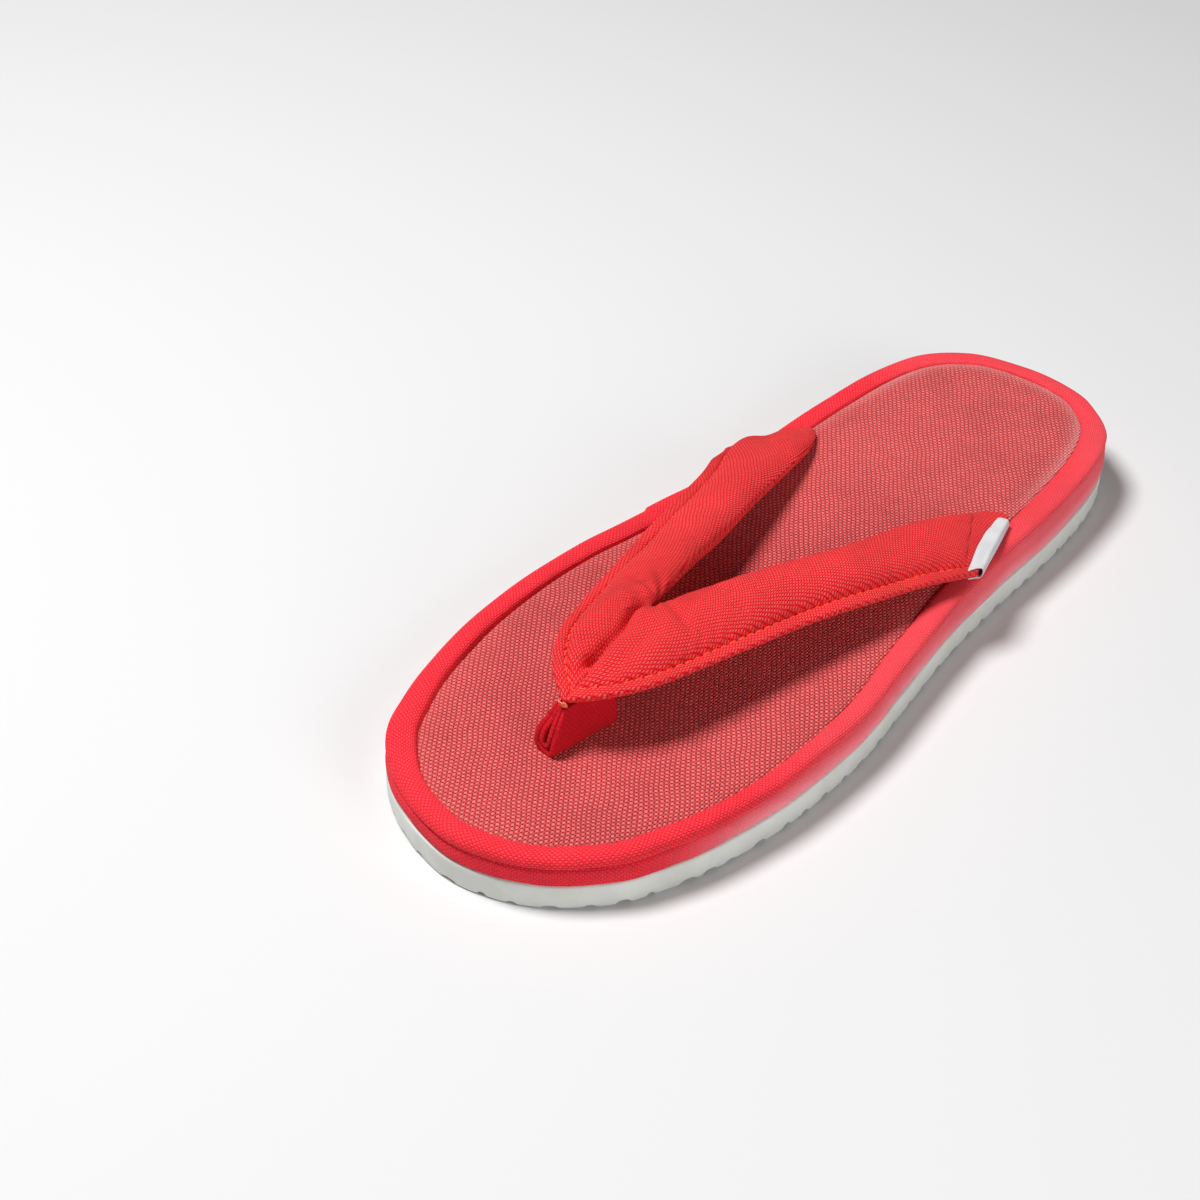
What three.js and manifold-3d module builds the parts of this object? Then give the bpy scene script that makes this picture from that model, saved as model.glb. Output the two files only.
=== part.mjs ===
import * as THREE from "three";
import Module from "manifold-3d";

// Zori sandal, left shoe. Millimetres. +Y to the toe, +X to the wearer's right, +Z up.
// The origin is on the ground, midway between heel and toe.

// Footbed opening inside the rim.
const FOOTBED_LENGTH = 235;
const FOOTBED_WIDTH = 85.8;

// Layers of the sole, from the ground up. The midsole is a low wedge, thickest at the heel.
const OUTSOLE_THICKNESS = 6.8;
const MIDSOLE_TOE_THICKNESS = 4.4;
const MIDSOLE_HEEL_THICKNESS = 10.6;
const INSOLE_EDGE_THICKNESS = 1.2;
const INSOLE_CROWN = 0.5;
const INSOLE_ROLL_OFF = 7;
const LAYER_GAP = 0.3;

// Rim of cloth round the footbed: width outward, and height proud of the footbed edge.
const RIM_WIDTH = 6;
const RIM_PROUD_TOE = 2.0;
const RIM_PROUD_WAIST = 0.9;
const RIM_PROUD_HEEL = 0.5;

// Side wall of the sole.
const SIDE_STEP = 0.5;
const OUTSOLE_BOTTOM_CHAMFER = 0.5;
const MIDSOLE_BULGE = 0.5;
const MIDSOLE_CREASE = 0.6;

// Lap where the two ends of the rim cloth overlap, on the medial side.
const LAP_STATION = 1;
const LAP_RISE = 0.7;
const LAP_FADE = 26;

// Cuts of the tread that show along the lower edge.
const NOTCH_PITCH = 7.4;
const NOTCH_WIDTH = 1.7;
const NOTCH_DEPTH = 1.1;
const NOTCH_REACH = 8;
const NOTCH_TURN = 24;

// Toe post: a folded band, standing nearly lengthwise.
const POST_FRONT = 89.2;
const POST_LENGTH = 20.4;
const POST_LEAN = 4.4;
const POST_THICKNESS_BASE = 8.0;
const POST_THICKNESS_TOP = 5.0;
const POST_OFFSET = 0.1;
const POST_TURN = -8;
const POST_REACH = 13.4;
const POST_FOLD_DEPTH = 5;
const POST_FOLD_WIDTH = 1.5;
const POST_FOLD_OFFSET = 0.9;

// Straps.
const STRAP_PAD_THICKNESS = 8.2;
const STRAP_FLANGE_THICKNESS = 2.2;
const STRAP_FLANGE_WIDTH = 4.2;
const STRAP_CLEARANCE = 0.42;

// Tongue at each strap end that drops into the slit beside the insole.
const TONGUE_FRONT = -42.5;
const TONGUE_BACK = -55;
const TONGUE_THICKNESS = 2.4;
const TONGUE_INSET = 1.4;
const TONGUE_DEPTH = 2.2;
const TONGUE_TOP = 1.9;

// Side label, a folded ribbon over the end of the lateral strap.
const LABEL_THICKNESS = 0.7;
const LABEL_TOP_REACH = 1.4;
const LABEL_BOTTOM_REACH = 0.4;
const LABEL_CLEARANCE = 0.5;
const LABEL_END_GAP = 0.4;
const LABEL_ROOM = 0.5;
const LABEL_START = 0.03;
const LABEL_END = 0.86;

// Mesh density.
const OUTLINE_POINTS = 104;
const STRAP_STATIONS = 30;
const SECTION_POINTS = 11;
const LABEL_POINTS = 10;

const wasm = await Module();
wasm.setup();

// Half outline of the footbed from heel to toe: station as a share of half the length,
// width as a share of half the width.
const FOOTBED_HALF = [
  { station: -1, width: 0 },
  { station: -0.985, width: 0.303 },
  { station: -0.945, width: 0.475 },
  { station: -0.9, width: 0.58 },
  { station: -0.85, width: 0.639 },
  { station: -0.77, width: 0.69 },
  { station: -0.64, width: 0.73 },
  { station: -0.5, width: 0.755 },
  { station: -0.34, width: 0.774 },
  { station: -0.17, width: 0.806 },
  { station: 0, width: 0.867 },
  { station: 0.1, width: 0.914 },
  { station: 0.2, width: 0.967 },
  { station: 0.34, width: 0.998 },
  { station: 0.5, width: 0.984 },
  { station: 0.6, width: 0.944 },
  { station: 0.72, width: 0.867 },
  { station: 0.8, width: 0.779 },
  { station: 0.86, width: 0.697 },
  { station: 0.93, width: 0.51 },
  { station: 0.96, width: 0.385 },
  { station: 0.985, width: 0.225 },
  { station: 1, width: 0 },
];

function outlineLoop() {
  const right = FOOTBED_HALF.map(
    (r) => new THREE.Vector3((r.width * FOOTBED_WIDTH) / 2, (r.station * FOOTBED_LENGTH) / 2, 0),
  );
  const left = right
    .slice(1, -1)
    .reverse()
    .map((p) => new THREE.Vector3(-p.x, p.y, 0));
  const curve = new THREE.CatmullRomCurve3([...right, ...left], true, "centripetal");
  return curve.getSpacedPoints(OUTLINE_POINTS).slice(0, OUTLINE_POINTS);
}

const BED_OUTLINE = outlineLoop();
const BED_NORMALS = BED_OUTLINE.map((p, i) => {
  const before = BED_OUTLINE[(i + OUTLINE_POINTS - 1) % OUTLINE_POINTS];
  const after = BED_OUTLINE[(i + 1) % OUTLINE_POINTS];
  return new THREE.Vector3(after.y - before.y, before.x - after.x, 0).normalize();
});

const HALF_LENGTH = FOOTBED_LENGTH / 2;
const MIDSOLE_BASE = OUTSOLE_THICKNESS + LAYER_GAP;

function midsoleThickness(y) {
  const share = (HALF_LENGTH - y) / FOOTBED_LENGTH;
  return THREE.MathUtils.lerp(MIDSOLE_TOE_THICKNESS, MIDSOLE_HEEL_THICKNESS, share);
}

// Underside of the insole and rim, and the visible edge of the insole, at a station.
const bedBase = (y) => MIDSOLE_BASE + midsoleThickness(y) + LAYER_GAP;
const bedEdge = (y) => bedBase(y) + INSOLE_EDGE_THICKNESS;

// Rim width by station, as shares of the nominal width on each side of the shoe.
const RIM_WIDTHS = [
  { station: -1.0, lateral: 0.84, medial: 0.84 },
  { station: -0.97, lateral: 0.95, medial: 0.9 },
  { station: -0.88, lateral: 1.16, medial: 1.02 },
  { station: -0.64, lateral: 1.16, medial: 1.02 },
  { station: -0.34, lateral: 1.02, medial: 0.98 },
  { station: 0.0, lateral: 1.0, medial: 0.98 },
  { station: 0.22, lateral: 0.88, medial: 0.97 },
  { station: 0.4, lateral: 0.8, medial: 0.97 },
  { station: 0.66, lateral: 0.8, medial: 1.02 },
  { station: 0.88, lateral: 0.82, medial: 1.2 },
  { station: 1.0, lateral: 0.94, medial: 0.94 },
];

// Value of one column of a table at a station, smoothed between its rows.
function columnAt(table, column, station) {
  const last = table.length - 1;
  let i = 0;
  while (i < last - 1 && station > table[i + 1].station) i++;
  const span = table[i + 1].station - table[i].station;
  const u = THREE.MathUtils.clamp((station - table[i].station) / span, 0, 1);
  return THREE.MathUtils.lerp(table[i][column], table[i + 1][column], u * u * (3 - 2 * u));
}

// Width of the rim beside a point of the footbed outline.
function rimWidth(p) {
  const station = p.y / HALF_LENGTH;
  return RIM_WIDTH * columnAt(RIM_WIDTHS, p.x < 0 ? "lateral" : "medial", station);
}

// Height of the rim above the insole edge at a station.
function rimProud(y) {
  const share = y / HALF_LENGTH;
  const fore = THREE.MathUtils.smoothstep(share, 0, 0.7);
  const heel = THREE.MathUtils.smoothstep(-share, 0.4, 0.9);
  return (
    RIM_PROUD_WAIST + (RIM_PROUD_TOE - RIM_PROUD_WAIST) * fore + (RIM_PROUD_HEEL - RIM_PROUD_WAIST) * heel
  );
}

// Extra height of the rim where its cloth is doubled, on the heel side of the lap line.
function lapRise(p) {
  if (p.x < 0 || p.y > LAP_STATION) return 0;
  return LAP_RISE * (1 - THREE.MathUtils.smoothstep(LAP_STATION - p.y, 0, LAP_FADE));
}

// Offset of the footbed outline: across is 0 at the opening and 1 at the outer wall, and
// heightAt gives the height from the station of the offset point.
function offsetPoint(i, across, extra, heightAt) {
  const p = BED_OUTLINE[i];
  const out = across * rimWidth(p) + extra;
  const y = p.y + BED_NORMALS[i].y * out;
  return [p.x + BED_NORMALS[i].x * out, y, heightAt(y)];
}

// Closed solid through a stack of loops with the same number of points, flat at both ends.
function stackSolid(loops) {
  const n = loops[0].length;
  const verts = loops.flat(2);
  const tris = [];
  for (let k = 0; k + 1 < loops.length; k++)
    for (let i = 0; i < n; i++) {
      const j = (i + 1) % n;
      const [a, b, c, d] = [k * n + i, k * n + j, (k + 1) * n + j, (k + 1) * n + i];
      tris.push(a, b, c, a, c, d);
    }
  const flat = loops[0].map((p) => new THREE.Vector2(p[0], p[1]));
  const cap = THREE.ShapeUtils.triangulateShape(flat, []);
  const top = (loops.length - 1) * n;
  const ccw = THREE.ShapeUtils.area(flat) > 0;
  for (const [a, b, c] of cap) {
    if (ccw) tris.push(c, b, a, top + a, top + b, top + c);
    else tris.push(a, b, c, top + c, top + b, top + a);
  }
  return solidFrom(verts, tris);
}

// A solid from corner positions and triangles; a shell that comes out facing inwards is turned over.
function solidFrom(verts, tris) {
  const shell = (triVerts) => new wasm.Manifold(
    new wasm.Mesh({ numProp: 3, vertProperties: new Float32Array(verts), triVerts: new Uint32Array(triVerts) }),
  );
  const made = shell(tris);
  if (made.volume() >= 0) return made;
  const flipped = [];
  for (let i = 0; i < tris.length; i += 3) flipped.push(tris[i], tris[i + 2], tris[i + 1]);
  return shell(flipped);
}

// Closed ring: one profile loop at each outline point, joined all the way round.
function ringSolid(profileAt) {
  const verts = [];
  const tris = [];
  const m = profileAt(0).length;
  for (let i = 0; i < OUTLINE_POINTS; i++) verts.push(...profileAt(i).flat());
  for (let i = 0; i < OUTLINE_POINTS; i++)
    for (let k = 0; k < m; k++) {
      const i2 = (i + 1) % OUTLINE_POINTS;
      const k2 = (k + 1) % m;
      tris.push(i * m + k, i2 * m + k, i2 * m + k2, i * m + k, i2 * m + k2, i * m + k2);
    }
  return solidFrom(verts, tris);
}

// Triangles that fill a flat loop in space, turning the same way as the loop.
function capTriangles(loop) {
  const points = loop.map((p) => new THREE.Vector3(...p));
  const normal = new THREE.Vector3();
  points.forEach((p, i) => normal.add(p.clone().cross(points[(i + 1) % points.length])));
  normal.normalize();
  const u = points[1].clone().sub(points[0]).projectOnPlane(normal).normalize();
  const v = normal.clone().cross(u);
  const flat = points.map((p) => new THREE.Vector2(p.dot(u), p.dot(v)));
  return THREE.ShapeUtils.triangulateShape(flat, []);
}

// Closed tube through sections with the same number of points, each in its own plane.
function loftSolid(sections) {
  const n = sections[0].length;
  const verts = sections.flat(2);
  const tris = [];
  for (let k = 0; k + 1 < sections.length; k++)
    for (let i = 0; i < n; i++) {
      const j = (i + 1) % n;
      const [a, b, c, d] = [k * n + i, k * n + j, (k + 1) * n + j, (k + 1) * n + i];
      tris.push(a, b, c, a, c, d);
    }
  const last = (sections.length - 1) * n;
  for (const [a, b, c] of capTriangles(sections[0])) tris.push(a, c, b);
  for (const [a, b, c] of capTriangles(sections[sections.length - 1])) tris.push(last + a, last + b, last + c);
  return solidFrom(verts, tris);
}

function meshOf(name, solid, color, roughness) {
  const m = solid.getMesh();
  const n = m.numProp;
  const pos = new Float32Array(m.numVert * 3);
  for (let i = 0; i < m.numVert; i++) pos.set(m.vertProperties.subarray(i * n, i * n + 3), i * 3);
  const g = new THREE.BufferGeometry();
  g.setAttribute("position", new THREE.BufferAttribute(pos, 3));
  g.setIndex(new THREE.BufferAttribute(m.triVerts, 1));
  g.computeVertexNormals();
  const mesh = new THREE.Mesh(g, new THREE.MeshStandardMaterial({ color, roughness }));
  mesh.name = name;
  return mesh;
}

// Outsole: a foam slab with a chamfered ground edge and the ends of the tread cuts round it.
function buildOutsole() {
  const level = (extra, z) => BED_OUTLINE.map((_, i) => offsetPoint(i, 1, extra, () => z));
  const slab = stackSolid([
    level(-OUTSOLE_BOTTOM_CHAMFER, 0),
    level(0, OUTSOLE_BOTTOM_CHAMFER),
    level(0, OUTSOLE_THICKNESS),
  ]);
  const wall = level(0, 0);
  const reach = HALF_LENGTH + RIM_WIDTH - NOTCH_PITCH;
  const count = Math.floor((2 * reach) / NOTCH_PITCH);
  const cuts = [];
  for (const side of [-1, 1])
    for (let k = 0; k <= count; k++) {
      const y = -reach + (k * 2 * reach) / count;
      const near = wall
        .filter((p) => Math.sign(p[0]) === side)
        .reduce((a, b) => (Math.abs(b[1] - y) < Math.abs(a[1] - y) ? b : a));
      const turn = NOTCH_TURN * side * (k % 2 ? 1 : -1);
      const cut = wasm.Manifold.cube([2 * NOTCH_REACH, NOTCH_WIDTH, 2 * NOTCH_DEPTH], true);
      cuts.push(cut.rotate([0, 0, turn]).translate([near[0], near[1], 0]));
    }
  return slab.subtract(wasm.Manifold.union(cuts));
}

// Midsole wall: out is the offset from the outer wall, height the share of the thickness.
const MIDSOLE_WALL = [
  { out: -SIDE_STEP, height: 0 },
  { out: -SIDE_STEP + 0.7 * MIDSOLE_BULGE, height: 0.15 },
  { out: -SIDE_STEP + MIDSOLE_BULGE, height: 0.5 },
  { out: -SIDE_STEP + 0.6 * MIDSOLE_BULGE, height: 0.85 },
  { out: -SIDE_STEP - MIDSOLE_CREASE, height: 1 },
];

// Midsole: the foam wedge wrapped in cloth, with pockets under the strap ends.
function buildMidsole(pockets) {
  const loops = MIDSOLE_WALL.map((r) =>
    BED_OUTLINE.map((_, i) =>
      offsetPoint(i, 1, r.out, (y) => MIDSOLE_BASE + r.height * midsoleThickness(y)),
    ),
  );
  return stackSolid(loops).subtract(pockets);
}

// Rim profile: across is the share of the rim width, rise the share of its height.
const RIM_PROFILE = [
  { across: 0.0, rise: 0.0 },
  { across: 0.0, rise: 0.45 },
  { across: 0.05, rise: 0.68 },
  { across: 0.2, rise: 0.9 },
  { across: 0.42, rise: 1.0 },
  { across: 0.64, rise: 0.97 },
  { across: 0.84, rise: 0.8 },
  { across: 0.97, rise: 0.5 },
  { across: 1.0, rise: 0.25 },
  { across: 0.95, rise: 0.0 },
];

function buildRim(pockets) {
  const ring = ringSolid((i) => {
    const p = BED_OUTLINE[i];
    const height = INSOLE_EDGE_THICKNESS + rimProud(p.y) + lapRise(p);
    const extra = lapRise(p) * 0.6;
    return RIM_PROFILE.map((r) =>
      offsetPoint(i, r.across, extra * r.across * r.rise, (y) => bedBase(y) + r.rise * height),
    );
  });
  return ring.subtract(pockets);
}

// Insole: a woven sheet with a low crown and a rolled edge, cut where straps and post pass.
function buildInsole(pockets) {
  const level = (inset, z) => BED_OUTLINE.map((_, i) => offsetPoint(i, 0, -inset, z));
  const sheet = stackSolid([
    level(LAYER_GAP, (y) => bedBase(y)),
    level(LAYER_GAP, (y) => bedEdge(y) - 0.4 * INSOLE_EDGE_THICKNESS),
    level(LAYER_GAP + 0.25 * INSOLE_ROLL_OFF, (y) => bedEdge(y) + 0.5 * INSOLE_CROWN),
    level(LAYER_GAP + INSOLE_ROLL_OFF, (y) => bedEdge(y) + INSOLE_CROWN),
  ]);
  return sheet.subtract(pockets);
}

// Strap stations from its end at the rim to the middle of the V. The outer edge carries the
// seam flange and the inner edge faces the ankle. Heights are above the insole edge, and pad
// is the share of the full pad thickness.
const STRAP_ROWS = [
  { outerX: 41.0, outerY: -27.0, outerH: 4.4, innerX: 31.7, innerY: -57.4, innerH: 0.9, pad: 0.42 },
  { outerX: 40.2, outerY: -24.8, outerH: 4.8, innerX: 27.6, innerY: -55.0, innerH: 1.4, pad: 0.56 },
  { outerX: 38.4, outerY: -20.4, outerH: 5.6, innerX: 23.0, innerY: -45.6, innerH: 3.4, pad: 0.76 },
  { outerX: 35.6, outerY: -12.6, outerH: 7.0, innerX: 19.0, innerY: -30.0, innerH: 7.0, pad: 0.94 },
  { outerX: 31.6, outerY: 2.8, outerH: 9.6, innerX: 14.0, innerY: -7.6, innerH: 11.0, pad: 1.0 },
  { outerX: 26.8, outerY: 21.3, outerH: 12.6, innerX: 9.2, innerY: 10.6, innerH: 13.6, pad: 1.0 },
  { outerX: 22.4, outerY: 39.4, outerH: 14.2, innerX: 5.7, innerY: 25.6, innerH: 15.9, pad: 1.0 },
  { outerX: 18.6, outerY: 55.2, outerH: 15.6, innerX: 3.3, innerY: 35.8, innerH: 17.1, pad: 1.0 },
  { outerX: 14.4, outerY: 69.0, outerH: 16.5, innerX: 1.9, innerY: 42.6, innerH: 17.7, pad: 0.96 },
  { outerX: 7.8, outerY: 78.6, outerH: 15.6, innerX: 0.9, innerY: 47.4, innerH: 17.8, pad: 0.82 },
  { outerX: -0.5, outerY: 84.6, outerH: 13.8, innerX: -0.5, innerY: 50.4, innerH: 17.6, pad: 0.6 },
];

const STRAP_COLUMNS = Object.keys(STRAP_ROWS[0]);

// Row values at a share of the strap's length, by a smooth curve through the rows.
function strapRowAt(t) {
  const last = STRAP_ROWS.length - 1;
  const f = THREE.MathUtils.clamp(t, 0, 1) * last;
  const i = Math.min(last - 1, Math.floor(f));
  const u = f - i;
  const value = {};
  for (const key of STRAP_COLUMNS) {
    const p1 = STRAP_ROWS[i][key];
    const p2 = STRAP_ROWS[i + 1][key];
    const m1 = (p2 - STRAP_ROWS[Math.max(0, i - 1)][key]) / 2;
    const m2 = (STRAP_ROWS[Math.min(last, i + 2)][key] - p1) / 2;
    const s = u * u * (3 - 2 * u);
    value[key] = p1 + s * (p2 - p1) + u * (1 - u) * ((1 - u) * m1 - u * m2);
  }
  return value;
}

// Frame of a strap station: outer and inner points, the direction across, and up.
function strapFrame(t) {
  const step = 0.5 / STRAP_STATIONS;
  const ends = (v) => [
    new THREE.Vector3(v.outerX, v.outerY, bedEdge(v.outerY) + v.outerH),
    new THREE.Vector3(v.innerX, v.innerY, bedEdge(v.innerY) + v.innerH),
  ];
  const row = strapRowAt(t);
  const [outer, inner] = ends(row);
  const [outerA, innerA] = ends(strapRowAt(t - step));
  const [outerB, innerB] = ends(strapRowAt(t + step));
  const ahead = outerB.add(innerB).sub(outerA).sub(innerA);
  const width = inner.distanceTo(outer);
  const across = inner.clone().sub(outer).normalize();
  const up = ahead.clone().cross(across).normalize();
  if (up.z < 0) up.negate();
  return { outer, across, up, width, ahead: ahead.normalize(), pad: row.pad };
}

// Half thickness of the strap at a share of its width: a flat flange, then the pad.
function strapHalf(frame, share) {
  const flange = STRAP_FLANGE_WIDTH / frame.width;
  const w = THREE.MathUtils.clamp((share - flange) / (1 - flange), 0, 1);
  const dome = Math.pow(Math.max(0, 1 - Math.pow(2 * w - 1, 2)), 0.42);
  const pad = (frame.pad * STRAP_PAD_THICKNESS * dome) / 2;
  const edge = Math.min(STRAP_FLANGE_THICKNESS, frame.pad * STRAP_PAD_THICKNESS) / 2;
  return share > 0.5 ? Math.max(pad, 0.45 * edge) : Math.max(pad, edge);
}

// Closed section of a strap, grown by a clearance, on the right (1) or left (-1) side.
function strapSection(t, side, grow) {
  const frame = strapFrame(t);
  const flange = STRAP_FLANGE_WIDTH / frame.width;
  const top = [];
  const bottom = [];
  for (let k = 0; k <= SECTION_POINTS; k++) {
    const q = k / SECTION_POINTS;
    const pad = (1 - Math.cos((Math.PI * (q - 0.2)) / 0.8)) / 2;
    const share = q < 0.2 ? (q / 0.2) * flange : flange + pad * (1 - flange);
    const spread = (2 * share - 1) * grow;
    const base = frame.outer.clone().addScaledVector(frame.across, share * frame.width + spread);
    if (t === 0) base.addScaledVector(frame.ahead, -grow);
    const half = strapHalf(frame, share) + grow;
    top.push(base.clone().addScaledVector(frame.up, half));
    bottom.push(base.clone().addScaledVector(frame.up, -half));
  }
  return [...top, ...bottom.reverse()].map((p) => [side * p.x, p.y, p.z]);
}

// Tongue under a strap end: a thin slab along the opening, inside the rim.
function buildTongue(side, grow) {
  const length = TONGUE_FRONT - TONGUE_BACK;
  const y = (TONGUE_FRONT + TONGUE_BACK) / 2;
  const edge = (FOOTBED_WIDTH / 2) * 0.772;
  const x = edge - TONGUE_INSET - TONGUE_THICKNESS / 2;
  const low = bedEdge(y) - TONGUE_DEPTH;
  const high = bedEdge(y) + TONGUE_TOP;
  const size = [TONGUE_THICKNESS + 2 * grow, length + 2 * grow, high - low + 2 * grow];
  return wasm.Manifold.cube(size, true).translate([side * x, y, (low + high) / 2]);
}

function buildStraps(grow) {
  const halves = [1, -1].map((side) => {
    const sections = [];
    for (let k = 0; k <= STRAP_STATIONS; k++) sections.push(strapSection(k / STRAP_STATIONS, side, grow));
    return loftSolid(sections).add(buildTongue(side, grow));
  });
  return halves[0].add(halves[1]);
}

// Toe post levels: rise is the share of the height, lean and pinch the shares of the
// backward lean and of the narrowing towards the top.
const POST_LEVELS = [
  { rise: 0.0, lean: 0.0, pinch: 0.0 },
  { rise: 0.3, lean: 0.04, pinch: 0.06 },
  { rise: 0.62, lean: 0.36, pinch: 0.42 },
  { rise: 1.0, lean: 1.0, pinch: 1.0 },
];

function buildPost(grow) {
  const base = bedBase(POST_FRONT) + LAYER_GAP / 2;
  const loops = POST_LEVELS.map((r) => {
    const half = THREE.MathUtils.lerp(POST_THICKNESS_BASE, POST_THICKNESS_TOP, r.pinch) / 2 + grow;
    const front = POST_FRONT - POST_LEAN * r.lean + grow;
    const back = POST_FRONT - POST_LENGTH - grow;
    const corner = 0.7 * half;
    const shape = [
      [half, back + corner / 2],
      [half, front - corner],
      [half - corner, front],
      [corner - half, front],
      [-half, front - corner],
      [-half, back + corner / 2],
      [corner / 2 - half, back],
      [half - corner / 2, back],
    ];
    return shape.map(([x, y]) => [x, y, base - grow + r.rise * POST_REACH]);
  });
  const middle = POST_FRONT - POST_LENGTH / 2;
  const turned = (solid) =>
    solid.translate([0, -middle, 0]).rotate([0, 0, POST_TURN]).translate([POST_OFFSET, middle, 0]);
  const body = stackSolid(loops);
  if (grow > 0) return turned(body);
  const fold = wasm.Manifold.cube([POST_FOLD_WIDTH, 2 * POST_FOLD_DEPTH, 0.55 * POST_REACH], true)
    .rotate([-18, 0, 0])
    .translate([POST_FOLD_OFFSET, POST_FRONT, base + 0.38 * POST_REACH]);
  return turned(body.subtract(fold));
}

// Distance along the strap that its whole length stands for.
const STRAP_LENGTH = 150;

// Point near the end of the left strap: share across it, reach back from its end, side of
// the middle plane (1 above, -1 below), lift off its surface and slide across it.
function labelPoint(share, reach, sign, lift, slide = 0) {
  const frame = strapFrame(Math.max(0, reach) / STRAP_LENGTH);
  const p = frame.outer.clone().addScaledVector(frame.across, share * frame.width + slide);
  p.addScaledVector(frame.up, sign * (strapHalf(frame, share) + lift));
  p.addScaledVector(frame.ahead, Math.min(0, reach));
  return [-p.x, p.y, p.z];
}

// Side label: a ribbon folded over the end of the left strap, clear of it all round.
function buildLabel() {
  const near = LABEL_CLEARANCE;
  const far = LABEL_CLEARANCE + LABEL_THICKNESS;
  const face = LABEL_END_GAP + LABEL_THICKNESS;
  const sections = [];
  for (let k = 0; k <= LABEL_POINTS; k++) {
    const share = THREE.MathUtils.lerp(LABEL_START, LABEL_END, k / LABEL_POINTS);
    sections.push([
      labelPoint(share, LABEL_TOP_REACH, 1, near),
      labelPoint(share, -LABEL_END_GAP, 1, near),
      labelPoint(share, -LABEL_END_GAP, -1, near),
      labelPoint(share, LABEL_BOTTOM_REACH, -1, near),
      labelPoint(share, LABEL_BOTTOM_REACH, -1, far),
      labelPoint(share, -face, -1, far),
      labelPoint(share, -face, 1, far),
      labelPoint(share, LABEL_TOP_REACH, 1, far),
    ]);
  }
  return loftSolid(sections);
}

// Room the rim leaves for the label.
function buildLabelRoom() {
  const far = LABEL_CLEARANCE + LABEL_THICKNESS + LABEL_ROOM;
  const face = LABEL_END_GAP + LABEL_THICKNESS + LABEL_ROOM;
  const back = LABEL_TOP_REACH + LABEL_ROOM;
  const sections = [];
  for (let k = 0; k <= LABEL_POINTS; k++) {
    const share = THREE.MathUtils.lerp(LABEL_START, LABEL_END, k / LABEL_POINTS);
    const slide = LABEL_ROOM * ((k === LABEL_POINTS) - (k === 0));
    sections.push([
      labelPoint(share, back, 1, far, slide),
      labelPoint(share, -face, 1, far, slide),
      labelPoint(share, -face, -1, far, slide),
      labelPoint(share, back, -1, far, slide),
    ]);
  }
  return loftSolid(sections);
}

const strapRoom = buildStraps(STRAP_CLEARANCE);
const postRoom = buildPost(STRAP_CLEARANCE);
const straps = buildStraps(0);
const openings = strapRoom.add(postRoom).add(buildLabelRoom());

const COLOURS = {
  outsole: 0xaeafaa,
  midsole: 0xd04450,
  edge_binding: 0xd8202c,
  insole: 0xc05256,
  upper_straps: 0xe03038,
  toe_post: 0xb01820,
  side_label: 0xf2f2f0,
};

const group = new THREE.Group();
group.name = "zori_sandal";
group.add(meshOf("outsole", buildOutsole(), COLOURS.outsole, 0.7));
group.add(meshOf("midsole", buildMidsole(openings), COLOURS.midsole, 0.9));
group.add(meshOf("edge_binding", buildRim(openings), COLOURS.edge_binding, 0.9));
group.add(meshOf("insole", buildInsole(openings), COLOURS.insole, 0.95));
group.add(meshOf("upper_straps", straps, COLOURS.upper_straps, 0.9));
group.add(meshOf("toe_post", buildPost(0).subtract(strapRoom), COLOURS.toe_post, 0.9));
group.add(meshOf("side_label", buildLabel(), COLOURS.side_label, 0.6));

export default group;
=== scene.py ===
"""Zori sandal, left shoe: cloth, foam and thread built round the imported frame.

Sizes are in millimetres in the shoe's own frame: +Y to the toe, +X to the medial side, +Z up,
with the origin on the ground. Meshes are turned to metres as they are made.
"""

import logging
import math
from dataclasses import dataclass, field
from enum import Enum
from typing import Callable, NamedTuple, Sequence

import bpy
import numpy as np
from mathutils import Matrix, Vector

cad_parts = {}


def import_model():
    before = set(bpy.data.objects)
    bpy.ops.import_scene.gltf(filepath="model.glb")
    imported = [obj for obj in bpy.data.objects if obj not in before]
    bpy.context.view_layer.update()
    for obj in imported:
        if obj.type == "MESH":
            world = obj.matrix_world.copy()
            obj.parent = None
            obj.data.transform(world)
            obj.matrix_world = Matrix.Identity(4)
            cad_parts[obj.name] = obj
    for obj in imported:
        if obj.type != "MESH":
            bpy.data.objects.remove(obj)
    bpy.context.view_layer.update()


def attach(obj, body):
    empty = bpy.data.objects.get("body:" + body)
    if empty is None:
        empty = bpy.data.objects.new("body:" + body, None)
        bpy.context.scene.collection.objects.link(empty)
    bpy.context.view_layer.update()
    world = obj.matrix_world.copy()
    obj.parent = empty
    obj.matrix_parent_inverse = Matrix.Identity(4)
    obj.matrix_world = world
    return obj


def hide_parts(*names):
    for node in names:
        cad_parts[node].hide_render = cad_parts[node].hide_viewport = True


LOG = logging.getLogger("zori_sandal")
MM = 0.001
CLOTH_MAP = "cloth"
# Attribute for the share of painted light, broken up like dust, on the cloth.
LIGHT_AND_DUST_LAYER = "paint_light_and_dust"


# Small mathematics


def smooth(value: np.ndarray, low: float, high: float) -> np.ndarray:
    """Share from 0 at low to 1 at high, with soft ends."""
    u = np.clip((np.asarray(value, float) - low) / (high - low), 0.0, 1.0)
    return u * u * (3.0 - 2.0 * u)


def hump(value: np.ndarray, centre: float, spread: float) -> np.ndarray:
    """Soft bump of height 1 round centre."""
    return np.exp(-(((np.asarray(value, float) - centre) / spread) ** 2))


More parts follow.
